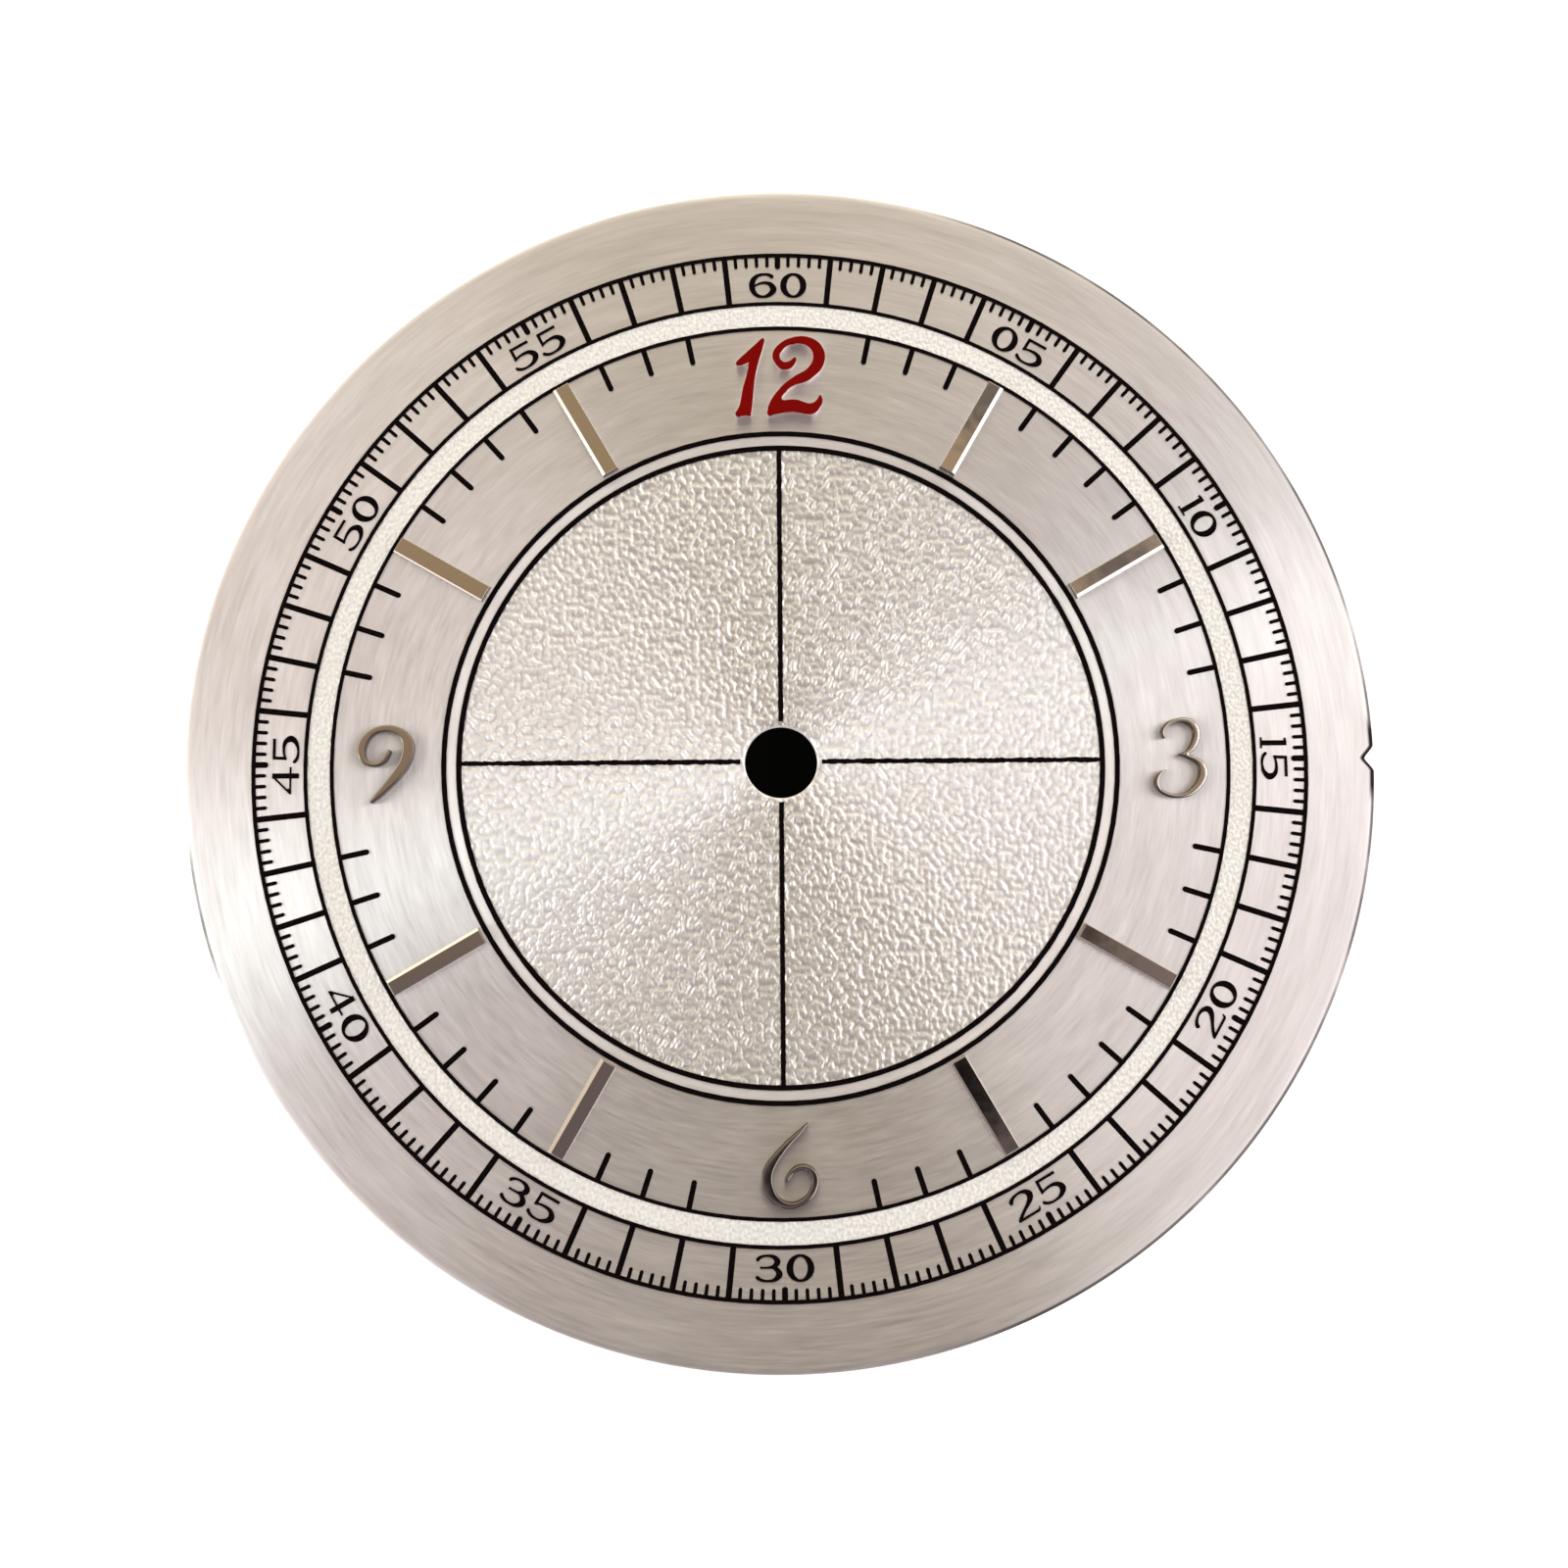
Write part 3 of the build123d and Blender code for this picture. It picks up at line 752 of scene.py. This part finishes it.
def drillBack(piece, spots, depth):
    # Blind holes from the back, up to depth in mm
    shape = bmesh.new()
    for x, y, radius in spots:
        addUpright(shape, x, y, radius, -0.2, depth, 40)
    mesh = bpy.data.meshes.new("drill")
    shape.to_mesh(mesh)
    shape.free()
    cutter = bpy.data.objects.new("drill", mesh)
    scene.collection.objects.link(cutter)
    cut = piece.modifiers.new("drill", "BOOLEAN")
    cut.operation, cut.solver, cut.object = "DIFFERENCE", "EXACT", cutter
    settle(piece)
    bpy.data.objects.remove(cutter)


def footSpot(name):
    low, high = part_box(name)
    return (low[0] + high[0]) / 2, (low[1] + high[1]) / 2


def makeBlank():
    s = plateSizes
    piece = turnedPiece("dialBlank", blankSection(), s["columns"], brushed, plating, s["brushedFrom"])
    crowdColumns(piece)
    cutNotch(piece)
    drillBack(piece, [(x, y, radius + s["pinClearance"] * mm) for name in markerNames
                      for x, y, radius in lowSpots(name)], s["pinDepth"])
    drillBack(piece, [(*footSpot(name), s["socketRadius"] * mm) for name in footNames], s["socketDepth"])
    return piece


def makeFrostedRing():
    s = plateSizes
    inner, outer, seat = s["hourCircle"], s["minuteInner"], faceLevel - s["seatDepth"]
    rows = round((outer - inner) / s["grainStep"])
    section = [(inner, seat), (outer, seat)]
    section += [(radius, faceLevel) for radius in stepsBetween(outer, inner, rows)]
    section.append((inner, faceLevel))
    return turnedPiece("frostedRing", section, s["ringColumns"], frostedBand, plating, s["frostedFrom"],
                       reliefOf(ringFrosting, inner, outer))


def makeFrostedCentre():
    s = plateSizes
    hole, outer = s["hole"], s["sectorInner"]
    inner = hole + s["holeRound"][0][0]
    rows = round((outer - inner) / s["grainStep"])
    section = [(hole, 0.0)] + [(radius, 0.0) for radius in s["centreRows"]] + [(outer, 0.0)]
    section += [(radius, faceLevel) for radius in stepsBetween(outer, inner, rows)]
    section += [(hole + outward, faceLevel - down) for outward, down in s["holeRound"]]
    return turnedPiece("frostedCentre", section, s["centreColumns"], frostedFace, plating, s["frostedFrom"],
                       reliefOf(centreFrosting, inner + s["grainMargin"], outer))


for piece in (makeBlank(), makeFrostedRing(), makeFrostedCentre()):
    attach(piece, "root")
    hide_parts("dial_plate")
    print(piece.name, len(piece.data.polygons), "faces")

# Feet: turned copper posts, soldered in the back

# mm, and the angles of the rows round the tip and up the bead of solder
footSizes = {
    "wire": 0.375,
    "length": 2.0,
    "tipBevel": 0.09,
    "tipRows": (0.0, 0.4, 0.8, 1.2, math.pi / 2),
    "wireRows": (-1.2, -0.5),
    "bead": 0.16,
    "beadRows": (0.0, 0.35, 0.7, 1.05, 1.4),
    "flange": 0.62,
    "socket": 0.15,
    "core": 0.004,
    "columns": 64,
}


def footSection():
    s = footSizes
    wire, low, flange, bevel = s["wire"], -s["length"], s["flange"], s["tipBevel"]
    tip = [(wire - bevel * (1 - math.sin(a)), low + bevel * (1 - math.cos(a))) for a in s["tipRows"]]
    bead = [(wire + s["bead"] * (1 - math.cos(a)), -s["bead"] * (1 - math.sin(a))) for a in s["beadRows"]]
    head = [(flange - 0.03, -0.002), (flange, 0.02), (flange, s["socket"]), (s["core"], s["socket"])]
    return [(s["core"], low)] + tip + [(wire, height) for height in s["wireRows"]] + bead + head


for name in footNames:
    footName = name.replace("dial_foot_", "foot.")
    foot = turnedPiece(footName, footSection(), footSizes["columns"], copper, copper, 1.0)
    foot.data.transform(Matrix.Translation((*footSpot(name), 0.0)))
    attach(foot, "root")
    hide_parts(name)
print("feet turned")

# Hour batons

batonSizes = {  # mm
    "Inner Radius": 9.596,
    "Length": 2.901,
    "Width": 0.49,
    "Height": 0.255,
    "Facet Drop": 0.035,
    "End Facet": 0.018,
    "Pin Radius": 0.15,
    "Pin Inset": 0.55,
    "Pin Length": 0.37,
}
batonEdges = {"round": 0.007, "steps": 2, "from": 10}  # mm, and degrees
# Widths of each baton's left and right facets in mm, which differ as on hand-finished markers
batonFacets = {
    1: (0.02, 0.10), 2: (0.02, 0.10), 4: (0.02, 0.07), 5: (0.015, 0.08),
    7: (0.015, 0.11), 8: (0.015, 0.09), 10: (0.045, 0.015), 11: (0.09, 0.015),
}


def makeBaton(hour):
    left, right = batonFacets[hour]
    piece = newPiece("baton.%02d" % hour, [], [], [])
    values = {name: size * mm for name, size in batonSizes.items()}
    values.update({"Left Facet": left * mm, "Right Facet": right * mm,
                   "Clock Angle": math.radians(hour * 30), "Finish": batonPolish})
    addNodesModifier(piece, hourBaton, values)
    rounding = piece.modifiers.new("edges", "BEVEL")
    rounding.width, rounding.segments = batonEdges["round"] * mm, batonEdges["steps"]
    rounding.limit_method, rounding.angle_limit = "ANGLE", math.radians(batonEdges["from"])
    rounding.harden_normals = True
    settle(piece)
    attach(piece, "root")
    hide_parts("baton_%d" % hour)


for hour in batonFacets:
    makeBaton(hour)
print("batons set")

# Applied numerals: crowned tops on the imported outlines

numeralCrowns = {  # mm high, and how soon the crown flattens
    "numeral_3": (0.055, 1.0),
    "numeral_6": (0.05, 1.1),
    "numeral_9": (0.045, 1.4),
    "numeral_12_one": (0.05, 1.7),
    "numeral_12_two": (0.05, 1.7),
}
numeralSizes = {  # mm
    "top": 0.64,
    "step": 0.028,  # between points along the outline
    "rings": (0.006, 0.016, 0.03),  # inside the outline
    "grid": 0.036,
    "weld": 0.0002,
    "crest": 0.005,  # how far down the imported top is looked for
    "pins": (0.03, 0.46),  # from and to
    "pinSides": 24,
    "sharp": 50,  # degrees
}


def topOutlines(name):
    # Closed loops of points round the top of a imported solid
    shape = bmesh.new()
    shape.from_mesh(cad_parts[name].data)
    bmesh.ops.remove_doubles(shape, verts=shape.verts, dist=numeralSizes["weld"] * mm)
    low = max(vertex.co.z for vertex in shape.verts) - numeralSizes["crest"] * mm
    crest = {face for face in shape.faces if all(vertex.co.z > low for vertex in face.verts)}
    links = {}
    for edge in shape.edges:
        if sum(face in crest for face in edge.link_faces) == 1:
            first, second = edge.verts
            links.setdefault(first, []).append(second)
            links.setdefault(second, []).append(first)
    loops, seen = [], set()
    for start in links:
        if start in seen:
            continue
        loop, last, here = [], None, start
        while here not in seen:
            seen.add(here)
            loop.append(Vector((here.co.x / mm, here.co.y / mm)))
            ahead = [v for v in links[here] if v is not last and v not in seen]
            last, here = here, (ahead[0] if ahead else start)
        loops.append(loop)
    shape.free()
    return loops


def evenLoop(loop, step):
    # The loop again with points at even spacing, running counter-clockwise
    area = sum(a.x * b.y - b.x * a.y for a, b in zip(loop, loop[1:] + loop[:1]))
    if area < 0:
        loop = loop[::-1]
    lengths = [(b - a).length for a, b in zip(loop, loop[1:] + loop[:1])]
    total = sum(lengths)
    count = max(12, round(total / step))
    points, i, passed = [], 0, 0.0
    for k in range(count):
        aim = total * k / count
        while passed + lengths[i] < aim:
            passed += lengths[i]
            i += 1
        points.append(loop[i].lerp(loop[(i + 1) % len(loop)], (aim - passed) / lengths[i]))
    return points


def insideLoop(loop, point):
    inside = False
    for a, b in zip(loop, loop[1:] + loop[:1]):
        if (a.y > point.y) != (b.y > point.y) and point.x < (b.x - a.x) * (point.y - a.y) / (b.y - a.y) + a.x:
            inside = not inside
    return inside


def fillPoints(loop):
    # Rings of points close inside the outline, then an even grid
    ring = np.array([tuple(p) for p in loop])
    run = np.roll(ring, -1, axis=0) - ring
    way = np.roll(ring, -1, axis=0) - np.roll(ring, 1, axis=0)
    way /= np.linalg.norm(way, axis=1)[:, None]
    inward = np.stack([-way[:, 1], way[:, 0]], 1)

    def gaps(points):
        rel = points[:, None, :] - ring[None]
        share = np.clip((rel * run).sum(2) / (run * run).sum(1), 0, 1)
        return np.linalg.norm(rel - share[..., None] * run, axis=2).min(1)

    chosen = []
    for depth in numeralSizes["rings"]:
        offset = ring + inward * depth
        chosen += [p for p, gap in zip(offset, gaps(offset)) if gap > depth * 0.9]
    low, high = ring.min(0), ring.max(0)
    step = numeralSizes["grid"]
    rows = []
    y, odd = low[1], False
    while y < high[1]:
        x = low[0] + (step / 2 if odd else 0)
        while x < high[0]:
            rows.append((x, y))
            x += step
        y += step * 0.866
        odd = not odd
    grid = np.array(rows)
    grid = grid[gaps(grid) > numeralSizes["rings"][-1] + step * 0.45]
    chosen += [p for p in grid if insideLoop(loop, Vector(p))]
    return [Vector(p) for p in chosen]


def crownHeights(points, faces, edgeCount):
    # Soap film over the outline: solves for a height that is nought at the edge and round in between
    count = len(points)
    stiffness, load = np.zeros((count, count)), np.zeros(count)
    for face in faces:
        spots = [points[i] for i in face]
        for k in range(3):
            i, j, m = face[k], face[(k + 1) % 3], face[(k + 2) % 3]
            a, b = points[i] - points[m], points[j] - points[m]
            cross = abs(a.x * b.y - a.y * b.x)
            weight = 0.5 * a.dot(b) / max(cross, 1e-9)
            stiffness[i, i] += weight
            stiffness[j, j] += weight
            stiffness[i, j] -= weight
            stiffness[j, i] -= weight
        area = abs((spots[1] - spots[0]).cross(spots[2] - spots[0])) / 2
        for i in face:
            load[i] += area / 3
    free = np.arange(edgeCount, count)
    film = np.zeros(count)
    film[free] = np.linalg.solve(stiffness[np.ix_(free, free)], load[free])
    return np.sqrt(np.maximum(2 * film, 0))


def fillLoop(loop):
    # Triangles over a loop and its filling, the loop's own points first
    flat = loop + fillPoints(loop)
    edges = [(i, (i + 1) % len(loop)) for i in range(len(loop))]
    spots, _, tris, origin, _, _ = delaunay_2d_cdt(flat, edges, [], 1, 1e-6)
    order = {i: sources[0] if sources else len(flat) + i for i, sources in enumerate(origin)}
    ranked = sorted(range(len(spots)), key=lambda i: order[i])
    place = {old: new for new, old in enumerate(ranked)}
    spots = [spots[i] for i in ranked]
    tris = [tuple(place[i] for i in tri) for tri in tris if len(tri) == 3]
    tris = [tri if (spots[tri[1]] - spots[tri[0]]).cross(spots[tri[2]] - spots[tri[0]]) > 0 else tri[::-1]
            for tri in tris]
    return spots, tris


def makeNumeral(name, finish):
    s = numeralSizes
    crown, fullness = numeralCrowns[name]
    points, faces = [], []
    for outline in topOutlines(name):
        loop = evenLoop(outline, s["step"])
        spots, tris = fillLoop(loop)
        base, foot = len(points), len(points) + len(spots)
        for spot, height in zip(spots, crownHeights(spots, tris, len(loop))):
            lift = crown * math.tanh(fullness * height / crown)
            points.append((spot.x * mm, spot.y * mm, (s["top"] - crown + lift) * mm))
        points += [(spot.x * mm, spot.y * mm, faceLevel * mm) for spot in spots]
        faces += [tuple(base + i for i in tri) for tri in tris]
        faces += [tuple(foot + i for i in tri[::-1]) for tri in tris]
        for i in range(len(loop)):
            j = (i + 1) % len(loop)
            faces.append((base + j, base + i, foot + i, foot + j))
    piece = newPiece(name.replace("numeral_", "numeral."), points, [], faces)
    shape = bmesh.new()
    shape.from_mesh(piece.data)
    for x, y, radius in lowSpots(name):
        addUpright(shape, x, y, radius, *s["pins"], s["pinSides"])
    shape.to_mesh(piece.data)
    shape.free()
    piece.data.shade_smooth()
    piece.data.set_sharp_from_angle(angle=math.radians(s["sharp"]))
    piece.data.materials.append(finish)
    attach(piece, "root")
    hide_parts(name)
    print(piece.name, len(piece.data.polygons), "faces")


for name in numeralCrowns:
    red = name.startswith("numeral_12")
    makeNumeral(name, lacquer if red else numeralPolish)

# Crosshair: arms with edges that spread over the frosting

crosshairSizes = {  # mm
    "circle": 9.055,
    "circleLine": 0.147,
    "circleTurns": 256,
    "line": 0.135,
    "start": 1.145,
    "step": 0.04,
    "top": 0.418,
    "circleTop": 0.420,
    "under": 0.375,  # below the grains' tops, so that the ink fills the hollows
    "spread": 0.05,
    "spreadSize": 0.13,
    "calm": 0.55,  # the upright arms came out cleaner than the level ones
}


def inkSpreadTree():
    # Moves an inked arm's edges a little to either side, across the way it runs
    tree, get, out = newGroup(
        "GeometryNodeTree", "inkSpread",
        {"Geometry": geometry, "Amount": 0.03 * mm, "Size": 0.15 * mm, "Calm": 0.5, "Seed": 0.0,
         "Finish": material},
        {"Geometry": geometry},
    )
    place = addNode(tree, "GeometryNodeInputPosition").outputs[0]
    split = separate(place)
    across, up = sums("ABSOLUTE", split["X"]), sums("ABSOLUTE", split["Y"])
    upright = sums("GREATER_THAN", up, across)
    flat = vectors("SCALE", flatPart(place), scale=sums("DIVIDE", 1.0, get["Size"]))
    noise = noiseAt(vectors("ADD", flat, combine(z=get["Seed"])), 1.0, 2.0, 0.6)
    shift = times(times(minus(noise, 0.5), get["Amount"]), 2.0)
    move = combine(times(times(shift, get["Calm"]), upright), times(shift, minus(1.0, upright)))
    moved = addNode(tree, "GeometryNodeSetPosition", {0: get["Geometry"], "Offset": move})
    real = addNode(tree, "GeometryNodeRealizeInstances", {0: moved})
    plug(addNode(tree, "GeometryNodeSetMaterial", {0: real, "Material": get["Finish"]}), out[0])
    return tree


def crosshairMesh():
    s = crosshairSizes
    points, faces = [], []
    half = s["line"] / 2
    count = round((s["circle"] - s["start"]) / s["step"])
    for ux, uy in ((0, 1), (1, 0), (0, -1), (-1, 0)):
        base = len(points)
        for i in range(count + 1):
            reach = s["start"] + (s["circle"] - s["start"]) * i / count
            for side, z in ((half, s["under"]), (half, s["top"]), (-half, s["top"]), (-half, s["under"])):
                points.append(((ux * reach + uy * side) * mm, (uy * reach - ux * side) * mm, z * mm))
        for i in range(count):
            for k in range(4):
                a, b = base + 4 * i + k, base + 4 * i + (k + 1) % 4
                faces.append((a, b, b + 4, a + 4))
        end = base + 4 * count
        faces += [(base + 3, base + 2, base + 1, base), (end, end + 1, end + 2, end + 3)]
    turns, halfLine = s["circleTurns"], s["circleLine"] / 2
    inner, outer = s["circle"] - halfLine, s["circle"] + halfLine
    corners = ((outer, s["under"]), (outer, s["circleTop"]), (inner, s["circleTop"]), (inner, s["under"]))
    base = len(points)
    for i in range(turns):
        angle = 2 * math.pi * i / turns
        x, y = math.cos(angle) * mm, math.sin(angle) * mm
        points += [(radius * x, radius * y, z * mm) for radius, z in corners]
    for i in range(turns):
        here, ahead = base + 4 * i, base + 4 * ((i + 1) % turns)
        faces += [(here + k, ahead + k, ahead + (k + 1) % 4, here + (k + 1) % 4) for k in range(4)]
    return points, faces


points, faces = crosshairMesh()
crosshair = newPiece("crosshair", points, [], faces)
addNodesModifier(crosshair, inkSpreadTree(), {
    "Amount": crosshairSizes["spread"] * mm, "Size": crosshairSizes["spreadSize"] * mm,
    "Calm": crosshairSizes["calm"], "Seed": 2.0, "Finish": ink})
settle(crosshair)
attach(crosshair, "root")
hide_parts("crosshair_print")

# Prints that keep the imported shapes

for name in ("minute_track_print", "minute_numeral_print", "hour_track_print", "sector_circle_print"):
    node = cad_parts[name]
    node.data.materials.clear()
    node.data.materials.append(ink)
print("prints inked")

# Studio: painted sky, floor and camera

# Each soft light: clock azimuth, half width, edge fade, the zenith angles where it starts and is full, colour
skyLights = {
    "eastSky": (70, 16, 68, 8, 50, (0.74, 0.68, 0.76)),
    "eastWindow": (102, 35, 17, 15, 40, (1.60, 1.50, 1.46)),
    "westStrip": (260, 4.5, 11, 32, 58, (3.7, 4.3, 4.2)),
    "southWestWall": (245, 17, 23, 49, 53, (2.3, 2.0, 1.9)),
    "northWestWall": (332, 39, 47, 16, 57, (1.36, 1.15, 0.88)),
    "northWall": (24, 32, 53, 19, 51, (0.30, 0.31, 0.15)),
    "room": (139, 180, 10, 30, 53, (0.50, 0.42, 0.43)),
}
ceiling = {
    "north": (0.42, 0.305, 0.187, 1),
    "south": (0.165, 0.13, 0.13, 1),
    "turn": (-0.12, 0.30),  # how far north one tone gives way to the other
    "fade": (16, 36),  # zenith angles
}
# Dark spots of the ceiling that the polished tops show: slope to the right and to 12, radius, share taken
ceilingSpots = {
    "one": (0.146, 0.350, 0.030, 0.85),
    "two": (0.232, 0.238, 0.034, 0.80),
    "four": (0.198, 0.006, 0.024, 0.75),
    "five": (0.120, -0.082, 0.050, 0.93),
    "fiveSix": (0.095, -0.150, 0.050, 0.60),
    "six": (0.028, -0.153, 0.034, 0.90),
    "sixWide": (0.014, -0.142, 0.060, 0.50),
}
spotEdge = (0.4, 1.3)  # shares of the radius
# Small lamps that their facets show: slope to the right and to 12, radius, brightness
facetLamps = {
    "four": (-0.27, -0.88, 0.11, 1.4),
    "five": (-0.63, -0.54, 0.10, 0.55),
    "ten": (-0.90, -0.95, 0.20, 0.8),
}
lampEdge = (0.6, 1.2)
skyStrength = 0.9


def paintSky():
    world = bpy.data.worlds.new("studio")
    scene.world = world
    world.use_nodes = True
    tree = world.node_tree
    tree.nodes.clear()
    degrees = 180 / math.pi
    ray = addNode(tree, "ShaderNodeTexCoord").outputs["Generated"]
    split = separate(ray)
    azimuth = times(sums("ARCTAN2", split["X"], split["Y"]), degrees)
    zenith = times(sums("ARCCOSINE", split["Z"]), degrees)
    northness = soften(split["Y"], *ceiling["turn"])
    total = mixColour(northness, ceiling["south"], ceiling["north"])
    total = vectors("SCALE", total, scale=soften(zenith, *ceiling["fade"], 1.0, 0.0))
    slope = flatPart(vectors("DIVIDE", ray, combine(split["Z"], split["Z"], 1.0)))
    for right, up, radius, share in ceilingSpots.values():
        gap = vectors("DISTANCE", slope, (right, up, 0.0))
        left = soften(gap, radius * spotEdge[0], radius * spotEdge[1], 1.0 - share, 1.0)
        total = vectors("SCALE", total, scale=left)
    overhead = sums("GREATER_THAN", split["Z"], 0.05)
    for right, up, radius, glow in facetLamps.values():
        gap = vectors("DISTANCE", slope, (right, up, 0.0))
        shine = soften(gap, radius * lampEdge[0], radius * lampEdge[1], glow, 0.0)
        shine = times(shine, overhead)
        total = vectors("ADD", total, combine(shine, shine, shine))
    for turn, half, soft, start, full, tint in skyLights.values():
        gap = sums("ABSOLUTE", sums("WRAP", minus(azimuth, turn), 180.0, -180.0))
        width = soften(gap, half, half + soft, 1.0, 0.0)
        low = soften(zenith, start, full)
        total = vectors("ADD", total, vectors("SCALE", tint, scale=times(width, low)))
    total = vectors("SCALE", total, scale=skyStrength)
    camera = addNode(tree, "ShaderNodeLightPath").outputs["Is Camera Ray"]
    shown = mixColour(camera, total, (1, 1, 1, 1))
    background = addNode(tree, "ShaderNodeBackground", {"Color": shown, "Strength": 1.0})
    addNode(tree, "ShaderNodeOutputWorld", {"Surface": background})


floorLook = {
    "level": -2.0,  # mm
    "half": 600.0,
    "tone": (0.80, 0.80, 0.80, 1),
    "glow": 0.45,
    "shadePad": 2.0,
    "shadePadTone": (0.004, 0.004, 0.004, 1),
}


def layFloor():
    look = floorLook
    half, level = look["half"] * mm, look["level"] * mm
    corners = [(-half, -half, level), (half, -half, level), (half, half, level), (-half, half, level)]
    floor = newPiece("floor", corners, [], [(0, 1, 2, 3)])
    finish = bpy.data.materials.new("paleFloor")
    finish.use_nodes = True
    tree = finish.node_tree
    tree.nodes.clear()
    # Under the centre hole, which looks black in the photograph, the camera sees a small black pad
    # The black pad is painted shade: a dark sheet, seen only by the camera, where the hole is dark
    path = addNode(tree, "ShaderNodeLightPath").outputs
    away = vectors("LENGTH", flatPart(objectPlace(tree)))
    onShadePad = times(sums("LESS_THAN", away, look["shadePad"] * mm), path["Is Camera Ray"])
    paperShare = minus(1.0, onShadePad)
    tone = mixColour(paperShare, look["shadePadTone"], look["tone"])
    paper = addNode(tree, "ShaderNodeBsdfDiffuse", {"Color": tone})
    seen = sums("MAXIMUM", path["Is Camera Ray"], path["Is Glossy Ray"])
    seen = times(sums("MAXIMUM", seen, path["Is Transmission Ray"]), paperShare)
    glow = addNode(tree, "ShaderNodeEmission", {"Strength": times(seen, look["glow"])})
    both = addNode(tree, "ShaderNodeAddShader", {0: paper, 1: glow})
    # From below the floor is clear, so that the dial's back can be looked at
    under = addNode(tree, "ShaderNodeNewGeometry").outputs["Backfacing"]
    clear = addNode(tree, "ShaderNodeBsdfTransparent")
    shown = addNode(tree, "ShaderNodeMixShader", {0: under, 1: both, 2: clear})
    addNode(tree, "ShaderNodeOutputMaterial", {"Surface": shown})
    floor.data.materials.append(finish)


cameraSetup = {
    "place": (-0.285, -4.975, 44.25),  # mm
    "lens": 36.0,
    "sensor": 36.0,
    "leanBack": 5.658,  # degrees about X
    "leanSide": 0.429,  # degrees about Y
    "roll": 0.43,  # degrees about Z
}


def placeCamera():
    s = cameraSetup
    data = bpy.data.cameras.new("camera")
    data.lens, data.sensor_width, data.clip_start = s["lens"], s["sensor"], 1 * mm
    camera = bpy.data.objects.new("camera", data)
    view = (Matrix.Rotation(math.radians(-s["leanBack"]), 3, "X")
            @ Matrix.Rotation(math.radians(s["leanSide"]), 3, "Y")
            @ Matrix.Rotation(math.radians(s["roll"]), 3, "Z"))
    camera.matrix_world = Matrix.Translation(Vector(s["place"]) * mm) @ view.transposed().to_4x4()
    scene.collection.objects.link(camera)
    scene.camera = camera


paintSky()
layFloor()
placeCamera()
print("studio ready")
